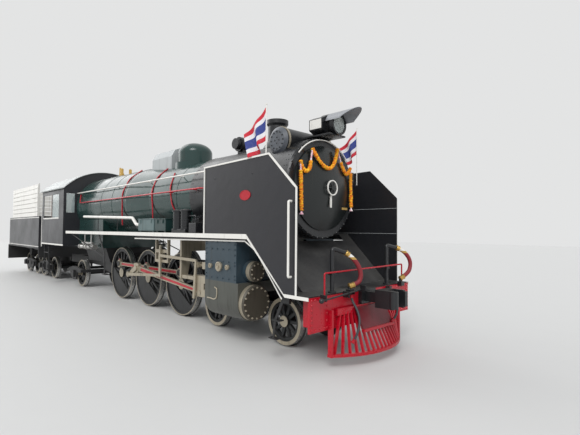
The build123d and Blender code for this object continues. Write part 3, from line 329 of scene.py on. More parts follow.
def hoseMarks(finish):
    y, h = finish.where()[1:]
    top = h - hoseLines["raised"] * (y > 0)
    return [(top > hoseLines["band"][1], "white"), (finish.inside(top, *hoseLines["band"]), "brass"),
            (h < hoseLines["thin"], "hoseBlack"), (finish.inside(h, *hoseLines["collar"]), "red")]


green = {"colour": (0.018, 0.05, 0.045), "rough": 0.2, "dust": 0.2, "grime": 0.25}
steel = {"colour": (0.42, 0.37, 0.28), "rough": 0.42, "metal": 0.45, "grime": 0.5}
coats = {
    "blackPaint": {"colour": (0.014, 0.015, 0.017), "rough": 0.3, "grime": 0.3},
    "frameBlack": {"colour": (0.017, 0.017, 0.018), "rough": 0.55, "dust": 0.5, "grime": 0.5},
    "doorBlack": {"colour": (0.009, 0.012, 0.012), "rough": 0.3, "dust": 0.1, "marks": doorMarks},
    "boardBlack": {"colour": (0.016, 0.016, 0.018), "rough": 0.42, "dust": 0.6},
    "deflectorBlack": {"colour": (0.017, 0.017, 0.021), "rough": 0.36, "cloud": 0.7, "dust": 0.2,
                       "grime": 0.2, "marks": deflectorMarks},
    "boilerGreen": green,
    "domeGreen": {**green, "marks": behind(5.38, "paleGrey")},
    "mountingBlack": {"colour": (0.014, 0.015, 0.017), "rough": 0.32, "marks": behind(7.0, "brass")},
    "greyBox": {"colour": (0.115, 0.175, 0.175), "rough": 0.45, "grime": 0.6, "cloud": 0.5},
    "greenBox": {"colour": (0.016, 0.045, 0.042), "rough": 0.32},
    "panelRed": {"colour": (0.15, 0.007, 0.014), "rough": 0.36, "grime": 0.6, "cloud": 0.6},
    "timber": {"colour": (0.085, 0.03, 0.02), "rough": 0.55},
    "chestBlue": {"colour": (0.03, 0.052, 0.068), "rough": 0.38, "dust": 0.4, "grime": 0.5},
    "casingOlive": {"colour": (0.075, 0.078, 0.066), "rough": 0.4, "dust": 0.4, "grime": 0.6},
    "redPaint": {"colour": (0.47, 0.003, 0.016), "rough": 0.26, "dust": 0.12, "grime": 0.3},
    "whitePaint": {"colour": (0.8, 0.78, 0.73), "rough": 0.42, "dust": 0.1, "grime": 0.22, "cloud": 0.1},
    "roofGrey": {"colour": (0.54, 0.56, 0.55), "rough": 0.5, "dust": 0.1, "cloud": 0.2},
    "cabGrey": {"colour": (0.022, 0.023, 0.027), "rough": 0.36, "dust": 0.2, "grime": 0.3,
                "marks": cabMarks},
    "tankGrey": {"colour": (0.03, 0.031, 0.035), "rough": 0.36, "dust": 0.2, "grime": 0.3, "cloud": 0.6,
                 "marks": tenderMarks},
    "tanSteel": {"colour": (0.42, 0.37, 0.28), "rough": 0.4, "metal": 0.45, "grime": 0.6, "wave": 0.2},
    "brightSteel": {"colour": (0.55, 0.54, 0.52), "rough": 0.3, "metal": 0.8, "wave": 0.2},
    "brass": {"colour": (0.62, 0.4, 0.12), "rough": 0.3, "metal": 0.85, "grime": 0.3, "wave": 0.2},
    "heaterBlack": {"colour": (0.013, 0.014, 0.016), "rough": 0.36, "marks": heaterMarks},
    "lampBlack": {"colour": (0.01, 0.011, 0.013), "rough": 0.22, "dust": 0.15, "marks": hoodMarks},
    "coverSteel": {**steel, "marks": coverMarks},
    "couplingSteel": {**steel, "marks": rodMarks(0.713, 0.725)},
    "mainRodSteel": {**steel, "marks": rodMarks(0.94, 0.952)},
    "hoseRed": {"colour": (0.26, 0.018, 0.026), "rough": 0.55, "dust": 0.15, "grime": 0.3,
                "marks": hoseMarks},
}
materials = {name: coat(name, **values) for name, values in coats.items()}


def glass(name, tint, alpha, rough):
    finish = Finish(name)
    smear = finish.noise(4.0, 3.0, 0.6)
    return finish.shade(
        Base_Color=finish.blend(smear, tint, tuple(0.8 * c for c in tint)),
        Roughness=rough + 0.08 * smear,
        Alpha=alpha + 0.1 * (smear - 0.5),
    )


materials["windowGlass"] = glass("windowGlass", (0.42, 0.5, 0.5), 0.55, 0.05)
materials["lensGlass"] = glass("lensGlass", (0.62, 0.68, 0.66), 0.35, 0.03)

# The paint of each CAD node that isn't plain black
nodeCoat = {
    "frameBlack": ["main_frames", "axle_boxes", "ashpan", "tender_frame", "lead_bogie_frame",
                   "trailing_truck", "tender_bogie_1", "tender_bogie_2"],
    "redPaint": ["front_beam", "pilot"], "whitePaint": ["white_trim", "handrails"],
    "doorBlack": ["smokebox_door"],
    "boardBlack": ["running_boards"], "deflectorBlack": ["smoke_deflectors"], "boilerGreen": ["boiler"],
    "domeGreen": ["domes"], "mountingBlack": ["boiler_mountings"], "chestBlue": ["valve_chests"],
    "casingOlive": ["cylinder_casings"], "roofGrey": ["cab_roof"], "cabGrey": ["cab_body"],
    "tankGrey": ["tender_tank"], "heaterBlack": ["feedwater_heater"], "lampBlack": ["headlamp"],
    "coverSteel": ["cylinder_covers"],
    "tanSteel": ["guide_bars", "valve_gear", "crosshead_left", "crosshead_right"],
    "couplingSteel": ["coupling_rod_left", "coupling_rod_right"],
    "mainRodSteel": ["main_rod_left", "main_rod_right"],
}
coatOf = {node: name for name, members in nodeCoat.items() for node in members}

# Wheels: radius, how wide the bare ring of the tyre is, and the radius of the bare disc on the hub
wheelDress = {"driving_axle": (0.686, 0.02, 0.127), "lead_axle": (0.385, 0.06, 0.11),
              "trailing_axle": (0.43, 0.04, 0.11), "tender_axle": (0.4, 0.04, 0.11)}
for nodeName, node in nodes.items():
    chosen = materials[coatOf.get(nodeName, "blackPaint")]
    for family, dress in wheelDress.items():
        if nodeName.startswith(family):
            low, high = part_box(nodeName)
            marks = wheelMarks(beamX - (low.x + high.x) / 2, *dress)
            chosen = coat(nodeName + "Paint", (0.015, 0.016, 0.017), 0.45, 0.3, 0.5, marks=marks)
    node.data.materials.clear()
    node.data.materials.append(chosen)

# Material slot names, with the coats listed under each
slots = {
    "black_paint": ["blackPaint", "frameBlack", "deflectorBlack", "cabGrey"],
    "red_paint": ["redPaint", "panelRed"],
    "white_paint": ["whitePaint"], "bare_steel": ["tanSteel", "brightSteel"], "valve_blue": ["chestBlue"],
    "boiler_green": ["boilerGreen", "greyBox", "greenBox"],
}
slotOf = {coatName: slot for slot, members in slots.items() for coatName in members}
print("paint on the engine's own pieces")


def finishPiece(name, mesh, body):
    piece = bpy.data.objects.new(name, mesh)
    bpy.context.scene.collection.objects.link(piece)
    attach(piece, body)
    return piece


def holderOf(data):  # carries a mesh or a curve while its modifiers and bevels run
    holder = bpy.data.objects.new("holder", data)
    bpy.context.scene.collection.objects.link(holder)
    return holder


def plainMesh(holder):  # what they make, as a mesh
    depsgraph = bpy.context.evaluated_depsgraph_get()
    mesh = bpy.data.meshes.new_from_object(holder.evaluated_get(depsgraph))
    bpy.data.objects.remove(holder)
    return mesh


class Growth(Graph):  # a geometry tree with named inputs
    def __init__(self, name, inputs):
        self.tree = bpy.data.node_groups.new(name, "GeometryNodeTree")
        sockets = self.tree.interface
        sockets.new_socket("Geometry", in_out="INPUT", socket_type="NodeSocketGeometry")
        sockets.new_socket("Geometry", in_out="OUTPUT", socket_type="NodeSocketGeometry")
        self.keys = {}
        for label, value in inputs.items():
            kind = "NodeSocketInt" if isinstance(value, int) else "NodeSocketFloat"
            made = sockets.new_socket(label, in_out="INPUT", socket_type=kind)
            made.default_value = value
            self.keys[label] = made.identifier
        self.entry = self.tree.nodes.new("NodeGroupInput")
        self.end = self.tree.nodes.new("NodeGroupOutput")

    def given(self, label):
        return Num(self, self.entry.outputs[label])

    def close(self, geometry, material):
        real = self.node("GeometryNodeRealizeInstances", (), {0: geometry})
        done = self.node("GeometryNodeSetMaterial", (), {"Geometry": real, "Material": material})
        self.tree.links.new(done.socket, self.end.inputs[0])

    def grow(self, name, data, body, slot, values):
        holder = holderOf(data)
        modifier = holder.modifiers.new(name, "NODES")
        modifier.node_group = self.tree
        for label, value in values.items():
            modifier[self.keys[label]] = value
        return finishPiece(name, plainMesh(holder), body)


ahead, upward = (1.0, 0.0, 0.0), (0.0, 0.0, 1.0)
sides = {"Right": -1, "Left": 1}


def outward(side):
    return (0.0, float(side), 0.0)


# Rivets, bolts and studs: a low cone on each spot, turned to face its way
def studTree(name, material):
    tree = Growth(name, {"Radius": 0.013, "Height": 0.008, "Sides": 8})
    radius = tree.given("Radius")
    sockets = {"Vertices": tree.given("Sides"), "Radius Top": 0.6 * radius, "Radius Bottom": radius,
               "Depth": tree.given("Height")}
    head = tree.node("GeometryNodeMeshCone", (), sockets)
    facing = tree.node("GeometryNodeInputNamedAttribute", {"data_type": "FLOAT_VECTOR"}, {"Name": "facing"})
    size = tree.node("GeometryNodeInputNamedAttribute", {"data_type": "FLOAT"}, {"Name": "size"})
    turn = tree.node("FunctionNodeAlignRotationToVector", {"axis": "Z"}, {"Vector": facing})
    sockets = {"Points": tree.given("Geometry"), "Instance": head, "Rotation": turn, "Scale": size}
    tree.close(tree.node("GeometryNodeInstanceOnPoints", (), sockets), material)
    return tree


# Rows of studs at both sides, from (start, stop, count, size); a row looks outwards, or ahead
def studRows(runs, front=False):
    spots = []
    for side in sides.values():
        facing = Vector(ahead if front else outward(side))
        for start, stop, count, size in runs:
            first, last = (place(back, side * y, height) for back, y, height in (start, stop))
            spots += [(first.lerp(last, i / (count - 1)), facing, size) for i in range(count)]
    return spots


# A ring about the engine's long axis, or across it; its studs look along the axis or outwards
def ring(centre, radius, count, size=1.0, across=False, outwards=False, first=0.0, last=360.0):
    spots = []
    for i in range(count):
        turn = math.radians(first + (last - first) * i / (count if last - first >= 360.0 else count - 1))
        sway, rise = math.sin(turn), math.cos(turn)
        out = Vector((sway, 0.0, rise)) if across else Vector((0.0, sway, rise))
        axis = Vector(outward(math.copysign(1.0, centre[1])) if across else ahead)
        spots.append((place(*centre) + out * radius, out if outwards else axis, size))
    return spots


def ringPairs(*rings, across=False):  # at both sides, from (centre, radius, count, size)
    spots = []
    for side in sides.values():
        for (back, y, height), radius, count, size in rings:
            spots += ring((back, side * y, height), radius, count, size, across)
    return spots


def smokeboxSpots():
    spots = ring((0.88, 0.0, boilerAxis), 0.842, 40)
    for back in (0.95, 1.01, 3.64, 3.7):
        spots += ring((back, 0.0, boilerAxis), 0.86, 34, 0.8, outwards=True, first=-118.0, last=118.0)
    return spots


def bandSpots():
    spots = []
    for back, radius in ((3.79, 0.844), (4.33, 0.844), (6.83, 0.934), (7.64, 0.934), (9.21, 0.934)):
        centre = (back, 0.0, boilerAxis)
        for turn in (-104.0, 104.0):
            spots += ring(centre, radius, 2, 1.3, outwards=True, first=turn, last=turn + 3.0)
    return spots


def levelRuns(backs, y, heights, count, size):  # level rows, one at each height
    return [((backs[0], y, height), (backs[1], y, height), count, size) for height in heights]


def uprightRuns(backs, y, heights, count, size):  # upright rows, one at each back
    return [((back, y, heights[0]), (back, y, heights[1]), count, size) for back in backs]


studs = {  # radius, height, and where they are
    ("beamRivets", "redPaint"): (0.019, 0.013, studRows(
        uprightRuns([0.0], 1.235, (0.545, 0.945), 7, 1.0)
        + [((0.0, 1.165, height), (0.0, 0.975, height), 3, 1.0) for height in (0.545, 0.945)]
        + uprightRuns([0.0], 0.92, (0.545, 0.945), 5, 1.0), front=True)),
    ("pilotBolts", "redPaint"): (0.013, 0.009, studRows(
        uprightRuns([-0.035], 0.9, (0.22, 0.72), 4, 1.0))
        + studRows([((-0.062, 0.7, 0.735), (-0.062, 0.44, 0.735), 3, 0.8)], front=True)),
    ("chestBolts", "chestBlue"): (0.015, 0.014, studRows(
        levelRuns((1.69, 2.51), 1.24, (1.68, 1.56, 1.35, 1.07), 6, 1.1)
        + uprightRuns((1.69, 2.51), 1.24, (1.13, 1.64), 4, 1.1))),
    ("coverBolts", "tanSteel"): (0.014, 0.016, ringPairs(
        ((1.489, 0.93, 0.686), 0.252, 16, 1.3), ((1.474, 0.93, 1.2), 0.128, 10, 1.1))),
    ("smokeboxRivets", "blackPaint"): (0.014, 0.008, smokeboxSpots()),
    ("heaterBolts", "blackPaint"): (0.013, 0.012, ringPairs(
        ((1.375, 0.62, 3.41), 0.148, 12, 1.1), ((1.375, 0.62, 3.41), 0.05, 4, 0.9), across=True)),
    ("deflectorBolts", "deflectorBlack"): (0.014, 0.007, studRows(
        uprightRuns([0.33], 1.3, (1.06, 2.4), 8, 0.55) + levelRuns((1.42, 2.44), 1.3, [1.88], 6, 0.55)
        + uprightRuns([2.46], 1.3, (1.98, 2.86), 6, 0.55) + levelRuns((1.2, 2.2), 1.3, [2.76], 2, 1.2))),
    ("cabRivets", "cabGrey"): (0.012, 0.006, studRows(
        uprightRuns((10.49, 12.81), 1.31, (1.45, 3.16), 22, 0.6)
        + levelRuns((10.56, 12.74), 1.31, (1.43, 2.18, 3.12), 28, 0.6))),
    ("bandClips", "boilerGreen"): (0.014, 0.01, bandSpots()),
}


def spotMesh(name, spots):
    mesh = bpy.data.meshes.new(name)
    mesh.from_pydata([spot for spot, facing, size in spots], [], [])
    facings = mesh.attributes.new("facing", "FLOAT_VECTOR", "POINT")
    facings.data.foreach_set("vector", [value for spot, facing, size in spots for value in facing])
    sizes = mesh.attributes.new("size", "FLOAT", "POINT")
    sizes.data.foreach_set("value", [size for spot, facing, size in spots])
    return mesh


for (name, coatName), (radius, height, spots) in studs.items():
    tree = studTree(name + "Tree", materials[coatName])
    values = {"Radius": radius, "Height": height}
    tree.grow(name, spotMesh(name, spots), "locomotive", slotOf.get(coatName), values)
print("rivets and bolts in place")


def meshOf(shape, sharp=None):
    mesh = bpy.data.meshes.new("part")
    shape.to_mesh(mesh)
    shape.free()
    return rounded(mesh, sharp) if sharp else mesh


def rounded(mesh, sharp):  # smooth, with a crease where faces meet at more than sharp degrees
    mesh.shade_smooth()
    mesh.set_sharp_from_angle(angle=math.radians(sharp))
    return mesh


# A turned shape: profile of (radius, along) pairs about an axis through centre
def turnedMesh(profile, centre, axis, steps):
    shape = bmesh.new()
    axis = Vector(axis).normalized()
    turned = axis.to_track_quat("Z", "Y").to_matrix()
    spots = [(math.cos(math.tau * i / steps), math.sin(math.tau * i / steps)) for i in range(steps)]
    rings = []
    for radius, along in profile:
        if radius == 0.0:
            rings.append([shape.verts.new(centre + axis * along)])
        else:
            around = [Vector((radius * c, radius * s, along)) for c, s in spots]
            rings.append([shape.verts.new(centre + turned @ spot) for spot in around])
    for first, second in zip(rings, rings[1:]):
        for i in range(steps):
            j = (i + 1) % steps
            pairs = ((first, i), (first, j), (second, j), (second, i))
            corners = [loop[k % len(loop)] for loop, k in pairs]
            shape.faces.new(list(dict.fromkeys(corners)))
    bmesh.ops.remove_doubles(shape, verts=shape.verts, dist=0.00001)
    bmesh.ops.recalc_face_normals(shape, faces=shape.faces)
    return meshOf(shape, 35.0)


def disc(radius, low, high):  # the profile of a solid one
    return [(0.0, low), (radius, low), (radius, high), (0.0, high)]


def band(inner, outer, low, high):  # the closed profile of a flat ring
    return [(inner, low), (outer, low), (outer, high), (inner, high), (inner, low)]


# A plate with rounded edges: its outline lies in one plane and it grows along push
def slabMesh(outline, push, bevel):
    shape = bmesh.new()
    face = shape.faces.new([shape.verts.new(spot) for spot in outline])
    grown = bmesh.ops.extrude_face_region(shape, geom=[face])
    moved = [item for item in grown["geom"] if isinstance(item, bmesh.types.BMVert)]
    bmesh.ops.translate(shape, vec=push, verts=moved)
    bmesh.ops.recalc_face_normals(shape, faces=shape.faces)
    bmesh.ops.bevel(shape, geom=shape.edges[:], offset=bevel, segments=2, affect="EDGES", profile=0.6)
    return meshOf(shape)


def sideSlab(outline, y, thick, bevel=0.0015):  # an outline of (back, height) pairs
    return slabMesh([place(back, y, height) for back, height in outline], Vector(outward(1)) * thick, bevel)


def boxMesh(backs, ys, heights, bevel=0.003):  # from three pairs of limits
    (b0, b1), (y0, y1), (h0, h1) = sorted(backs), sorted(ys), sorted(heights)
    return sideSlab([(b0, h0), (b1, h0), (b1, h1), (b0, h1)], y0, y1 - y0, bevel)


def softened(spots, reach):  # control points that keep the runs straight and round the corners
    points = [spots[0]]
    for before, corner, after in zip(spots, spots[1:], spots[2:]):
        for end in (before, corner, after):
            away = end - corner
            points.append(corner + away.normalized() * min(reach, 0.45 * away.length))
    return points + [spots[-1]]


def addRun(data, points, resolution):  # one smooth line through a curve's control points
    spline = data.splines.new("NURBS")
    spline.points.add(len(points) - 1)
    for point, spot in zip(spline.points, points):
        point.co = (*spot, 1.0)
    spline.order_u = 3
    spline.use_endpoint_u = True
    spline.resolution_u = resolution


def tubeMesh(points, radius, roundness, resolution, sharp):
    data = bpy.data.curves.new("tube", "CURVE")
    data.dimensions = "3D"
    data.bevel_depth = radius
    data.bevel_resolution = roundness
    data.use_fill_caps = True
    addRun(data, points, resolution)
    return rounded(plainMesh(holderOf(data)), sharp)


def pipeMesh(radius, route, reach=0.06):
    return tubeMesh(softened([place(*spot) for spot in route], reach), radius, 3, 6, 50.0)


def join(name, meshes, coatName, body="locomotive"):
    shape = bmesh.new()
    for part in meshes:
        shape.from_mesh(part)
        bpy.data.meshes.remove(part)
    mesh = meshOf(shape)
    mesh.materials.clear()
    mesh.materials.append(materials[coatName])
    return finishPiece(name, mesh, body)


# A piece from its shapes: boxes, plates, pipes and turned parts, as the mesh makers above take them.
# A {} in its name makes one at each side of the engine, and the axis "out" looks away from the middle.
def build(name, coatName, shapes, body="locomotive"):
    made = []
    for sideName, side in sides.items() if "{}" in name else [("", 1)]:
        parts = []
        for backs, ys, heights, *bevel in shapes.get("boxes", ()):
            parts.append(boxMesh(backs, [side * y for y in ys], heights, *bevel))
        for outline, y, thick, *bevel in shapes.get("plates", ()):
            parts.append(sideSlab(outline, side * y, side * thick, *bevel))
        for radius, route, *reach in shapes.get("pipes", ()):
            parts.append(pipeMesh(radius, [(back, side * y, height) for back, y, height in route], *reach))
        for profile, (back, y, height), axis, steps in shapes.get("turned", ()):
            way = outward(side) if axis == "out" else axis
            parts.append(turnedMesh(profile, place(back, side * y, height), way, steps))
        made.append(join(name.format(sideName), parts, coatName, body))
    return made


# Headlamp: reflector, lens and the blank number panels at its sides
lamp = {"front": 0.52, "height": 3.648, "recess": 0.149, "deep": 0.08, "panel": (0.69, 0.94), "half": 0.078,
        "side": 0.2655, "thick": 0.006}


def makeLamp(settings):
    front, height, recess, deep, panel, half, side, thick = settings.values()
    bowl = [(0.0, -deep)] + [(recess * s, -deep + 0.062 * s * s) for s in (0.25, 0.5, 0.75, 0.94)]
    bowl += [(recess * 0.94, -deep - 0.004), (0.0, -deep - 0.012)]
    lens = [(0.0, 0.01), (0.05, 0.008), (0.1, 0.001), (recess, -0.012)]
    lens += [(recess, -0.018), (0.1, -0.006), (0.0, 0.003)]
    turned = {"lampReflector": ("brightSteel", bowl), "lampLens": ("lensGlass", lens)}
    for name, (coatName, profile) in turned.items():
        build(name, coatName, {"turned": [(profile, (front, 0.0, height), ahead, 40)]})
    boxes = [(panel, (side, side + thick), (height - half, height + half), 0.0015)]
    build("lampPanel{}", "whitePaint", {"boxes": boxes})


makeLamp(lamp)

# Blank oval plate on each deflector: red field inside a raised rim
ovalPlate = {"back": 1.36, "height": 2.43, "long": 0.132, "tall": 0.08, "side": 1.3004, "field": 0.005,
             "rim": 0.009, "rimWide": 0.01}


def oval(settings, shrink):
    turns = [math.tau * i / 36 for i in range(36)]
    along, tall = settings["long"] - shrink, settings["tall"] - shrink
    back, height = settings["back"], settings["height"]
    return [(back + along * math.cos(t), height + tall * math.sin(t)) for t in turns]


def makeOvals(settings):
    y, field, rim, inset = (settings[key] for key in ("side", "field", "rim", "rimWide"))
    build("ovalField{}", "redPaint", {"plates": [(oval(settings, 0.0), y, field, 0.001)]})
    for sideName, side in sides.items():
        shape = bmesh.new()
        loops = []
        for shrink, depth in ((0.0, field), (0.0, rim), (inset, rim), (inset, field)):
            spots = [place(back, side * (y + depth), height) for back, height in oval(settings, shrink)]
            loops.append([shape.verts.new(spot) for spot in spots])
        for first, second in zip(loops, loops[1:] + loops[:1]):
            for i in range(len(first)):
                shape.faces.new([first[i - 1], first[i], second[i], second[i - 1]])
        bmesh.ops.recalc_face_normals(shape, faces=shape.faces)
        join("ovalRim" + sideName, [meshOf(shape)], "redPaint")


makeOvals(ovalPlate)

# Blank brass plate on the smokebox door, on two studs
doorPlate = {"backs": (0.78, 0.786), "ys": (0.4, 0.56), "heights": (2.252, 2.292), "bevel": 0.0012}
build("doorPlate", "brass", {"boxes": [tuple(doorPlate.values())]}, "smokebox_door")
for name, y, reach in (("doorStudNear", 0.42, 0.012), ("doorStudFar", 0.54, 0.03)):
    turned = [(disc(0.006, 0.0, -reach), (doorPlate["backs"][1], y, 2.272), ahead, 12)]
    build(name, "brass", {"turned": turned}, "smokebox_door")

# Round covers low on the outside of each valve chest: back, radius
chestCovers = {"face": 1.2402, "height": 1.262, "deep": 0.046,
               "rounds": [(2.37, 0.042), (2.115, 0.082), (1.88, 0.042)]}


def makeChestCovers(settings):
    deep = settings["deep"]
    for number, (back, radius) in enumerate(settings["rounds"], 1):
        profile = [(0.0, 0.0), (radius, 0.0), (radius, deep * 0.7), (radius - 0.008, deep * 0.8)]
        profile += [(radius * 0.72, deep * 0.8), (radius * 0.66, deep * 0.62), (radius * 0.34, deep * 0.62)]
        profile += [(radius * 0.3, deep), (0.0, deep)]
        turned = [(profile, (back, settings["face"], settings["height"]), "out", 28)]
        build("chestCover{}" + str(number), "tanSteel", {"turned": turned})


makeChestCovers(chestCovers)

# Tan joint rings round the feedwater heater, near its ends
heaterRing = {"turned": [(band(0.2354, 0.247, 0.0, 0.034), (1.375, 0.52, 3.41), "out", 48)]}
build("heaterRing{}", "tanSteel", heaterRing)

# Bent drain pipe on the casing of each cylinder
drainPipe = {"radius": 0.011, "side": 1.246, "route": [
    (2.46, 0.7), (2.36, 0.7), (2.26, 0.69), (2.19, 0.72), (2.17, 0.8), (2.18, 0.88), (2.24, 0.9),
]}
route = [(back, drainPipe["side"], height) for back, height in drainPipe["route"]]
build("drainPipe{}", "tanSteel", {"pipes": [(drainPipe["radius"], route)]})
print("lamp, plates and covers in place")

# Pipes along the boiler: hoops over it and a long pipe at each side
boilerHoops = [  # back at the top and at the foot, radius, first turn, height of the foot
    {"top": 6.95, "foot": 6.9, "radius": 0.956, "first": 24, "low": 1.99},
    {"top": 5.56, "foot": 5.4, "radius": 0.866, "first": 26, "low": 1.99},
    {"top": 4.7, "foot": 4.38, "radius": 0.866, "first": 50, "low": 2.15},
]
boilerPipes = {"radius": 0.016, "sweep": 78, "steps": 4, "side": 0.988, "height": 2.69,
               "stays": (3.5, 4.48, 5.85, 7.35, 8.7, 9.75)}


def hoopRoute(hoop):
    route = []
    for i in range(boilerPipes["steps"]):
        share = i / (boilerPipes["steps"] - 1)
        turn = math.radians(hoop["first"] + boilerPipes["sweep"] * share)
        back = hoop["top"] + (hoop["foot"] - hoop["top"]) * share
        route.append((back, hoop["radius"] * math.sin(turn), boilerAxis + hoop["radius"] * math.cos(turn)))
    back, y, height = route[-1]
    return route + [(back + 0.03, y - 0.03, hoop["low"])]


def makeBoilerPipes(settings):
    radius, y, height = settings["radius"], settings["side"], settings["height"]
    pipes = [(radius, hoopRoute(hoop), 0.2) for hoop in boilerHoops]
    pipes.append((radius, [(10.2, 0.88, 2.96), (9.94, y, height), (3.16, y, height), (3.06, 0.872, height)]))
    boxes = []
    for back in settings["stays"]:
        inner = 0.83 if back < 5.6 else 0.92  # the boiler is slimmer in front
        boxes.append(((back - 0.012, back + 0.012), (inner, y), (height - 0.01, height + 0.01), 0.002))
    build("redPipes{}", "redPaint", {"pipes": pipes, "boxes": boxes})


makeBoilerPipes(boilerPipes)

# Lagged pipe over each running board, on two stays
laggedPipe = {"radius": 0.036, "side": 1.165, "inner": 0.9, "stay": 0.01, "stays": (6.6, 7.9)}


def makeLaggedPipe(settings):
    y = settings["side"]
    route = [(9.02, settings["inner"], 2.24), (9.02, y, 2.24), (5.74, y, 2.15), (5.52, y, 1.99)]
    route.append((5.36, y, 1.99))
    build("laggedPipe{}", "whitePaint", {"pipes": [(settings["radius"], route, 0.1)]})
    stays = [(settings["stay"], [(back, y, 1.82), (back, y, 2.18)]) for back in settings["stays"]]
    build("laggedPipeStays{}", "frameBlack", {"pipes": stays})


makeLaggedPipe(laggedPipe)

# Bands round the boiler: where they are, for each of its radii
boilerBands = {0.84: (3.79, 4.33), 0.93: (6.83, 7.64, 8.42, 9.21, 10.06)}
bandSize = {"half": 0.023, "high": 0.005}
turned = []
for radius, backs in boilerBands.items():
    profile = band(radius - 0.002, radius + bandSize["high"], -bandSize["half"], bandSize["half"])
    turned += [(profile, (back, 0.0, boilerAxis), ahead, 96) for back in backs]
build("boilerBands", "boilerGreen", {"turned": turned})

# What stands on the running boards: two boxes, the feed pump and the lubricator
boardTop = 1.8204
boardBoxes = {"greyBox": (4.61, 5.36, 2.12), "greenBox": (4.09, 4.56, 2.11)}
pump = {"drums": [(3.76, 0.105), (3.48, 0.095)], "ribs": 5, "side": 1.09, "outlets": 6}


def boardBox(first, last, top):  # body, lid, two feet and two hinges
    boxes = [((first, last), (1.01, 1.2), (boardTop + 0.03, top - 0.016), 0.008),
             ((first - 0.01, last + 0.01), (1.0, 1.212), (top - 0.018, top), 0.004)]
    for back in (first + 0.07, last - 0.07):
        boxes.append(((back - 0.03, back + 0.03), (1.04, 1.18), (boardTop, boardTop + 0.034)))
    for back in (first + 0.12, last - 0.12):
        boxes.append(((back - 0.02, back + 0.02), (1.2, 1.216), (top - 0.1, top - 0.02)))
    return {"boxes": boxes}


def makePump(settings):
    y, turned = settings["side"], []
    for back, radius in settings["drums"]:
        lip = radius + 0.022
        profile = [(0.0, 0.06), (lip, 0.06), (lip, 0.084), (radius, 0.084), (radius, 0.42), (lip, 0.42),
                   (lip, 0.444), (radius * 0.5, 0.47), (0.0, 0.47)]
        lows = [0.135 + 0.055 * i for i in range(settings["ribs"])]
        profiles = [profile] + [band(radius - 0.002, radius + 0.012, low, low + 0.012) for low in lows]
        turned += [(profile, (back, y, boardTop), upward, 28) for profile in profiles]
    boxes = [((3.35, 3.88), (1.0, 1.18), (boardTop, boardTop + 0.07), 0.006),
             ((3.48, 3.76), (1.07, 1.11), (boardTop + 0.18, boardTop + 0.23)),
             ((2.96, 3.21), (1.04, 1.19), (boardTop, boardTop + 0.19), 0.008)]
    pipes = [(0.012, [(3.62, y, boardTop + 0.205), (3.62, y, boardTop + 0.33),
                      (3.085, 1.11, boardTop + 0.33), (3.085, 1.11, boardTop + 0.18)])]
    for i in range(settings["outlets"]):
        back = 2.985 + 0.04 * i
        route = [(back, 1.12, boardTop + 0.19), (back, 1.12, boardTop + 0.27)]
        route.append((back + 0.05, 1.0, boardTop + 0.33))
        pipes.append((0.007, route, 0.04))
    build("pumpAndOiler{}", "blackPaint", {"boxes": boxes, "pipes": pipes, "turned": turned})


for name, limits in boardBoxes.items():
    build(name + "{}", name, boardBox(*limits))
makePump(pump)

# Injector under each running board: flanges as (back, radius)
injector = {"side": 1.105, "low": 1.37, "high": 1.48, "flange": 0.014,
            "flanges": [(9.4, 0.08), (9.06, 0.074), (8.84, 0.084), (8.56, 0.074), (8.28, 0.08)]}


def makeInjectors(settings):
    y, low, high, half = (settings[key] for key in ("side", "low", "high", "flange"))
    pipes = [(0.058, [(9.4, y, low), (8.28, y, low)]), (0.034, [(9.25, y, high), (8.45, y, high)])]
    pipes += [(0.026, [(back, y, low), (back, y, high + 0.02)]) for back in (9.15, 8.84, 8.5)]
    pipes += [(0.02, [(back, y, high), (back, y, 1.806)]) for back in (9.06, 8.56)]
    turned = []
    for back, radius in settings["flanges"]:
        turned.append((disc(radius, -half, half), (back, y, low), ahead, 24))
    build("injector{}", "brightSteel", {"pipes": pipes, "turned": turned})


makeInjectors(injector)

# Footsteps: under the cab, at the driving wheels and beside the leading wheels
steps = {
    "boxes": [
        ((12.18, 12.196), (1.19, 1.25), (0.43, 1.352)), ((12.7, 12.716), (1.19, 1.25), (0.43, 1.352)),
        *[((12.18, 12.716), (1.09, 1.26), (low, low + 0.022)) for low in (0.43, 0.74, 1.05)],
        ((7.13, 7.39), (1.11, 1.24), (0.7, 0.722)), ((0.69, 0.86), (1.13, 1.24), (0.29, 0.308)),
        ((0.64, 0.8), (1.13, 1.24), (0.56, 0.578)), ((0.44, 0.6), (1.18, 1.226), (0.84, 0.975)),
    ],
    "plates": [
        ([(7.8, 1.806), (7.74, 1.806), (7.27, 1.26), (7.23, 0.72), (7.28, 0.72), (7.32, 1.235)],
         1.202, 0.018),
        ([(7.29, 1.136), (10.15, 1.772), (10.15, 1.8), (7.29, 1.164)], 1.202, 0.018),
        ([(0.56, 0.9), (0.6, 0.88), (0.76, 0.56), (0.79, 0.3), (0.75, 0.3), (0.715, 0.55), (0.56, 0.85)],
         1.21, 0.016),
    ],
}
build("steps{}", "frameBlack", steps)

# Valance under the edge of each running board, and the thin white line on it
valance = {"side": 1.262, "thick": 0.012, "proud": 0.006, "drop": (0.004, -0.024),
           "line": [(5.38, 1.69), (1.4, 1.72), (1.13, 1.58), (0.57, 0.935), (0.545, 0.92)]}


def makeValances(settings):
    y, thick, line, (back, up) = (settings[key] for key in ("side", "thick", "line", "drop"))
    plate = [(5.38, 1.804), *line[:-1], (0.56, 0.985), (1.33, 1.804)]
    strip = line + [(b + back, h + up) for b, h in reversed(line)]
    build("valance{}", "frameBlack", {"plates": [(plate, y - thick, thick)]})
    build("valanceLine{}", "whitePaint", {"plates": [(strip, y, settings["proud"])]})


makeValances(valance)

# Rail over the smokebox door, on three stays
doorArc = {"back": 0.846, "foot": 0.8804, "radius": 0.826,
           "turns": [-50.0 + 25.0 * i / 3 for i in range(13)]}


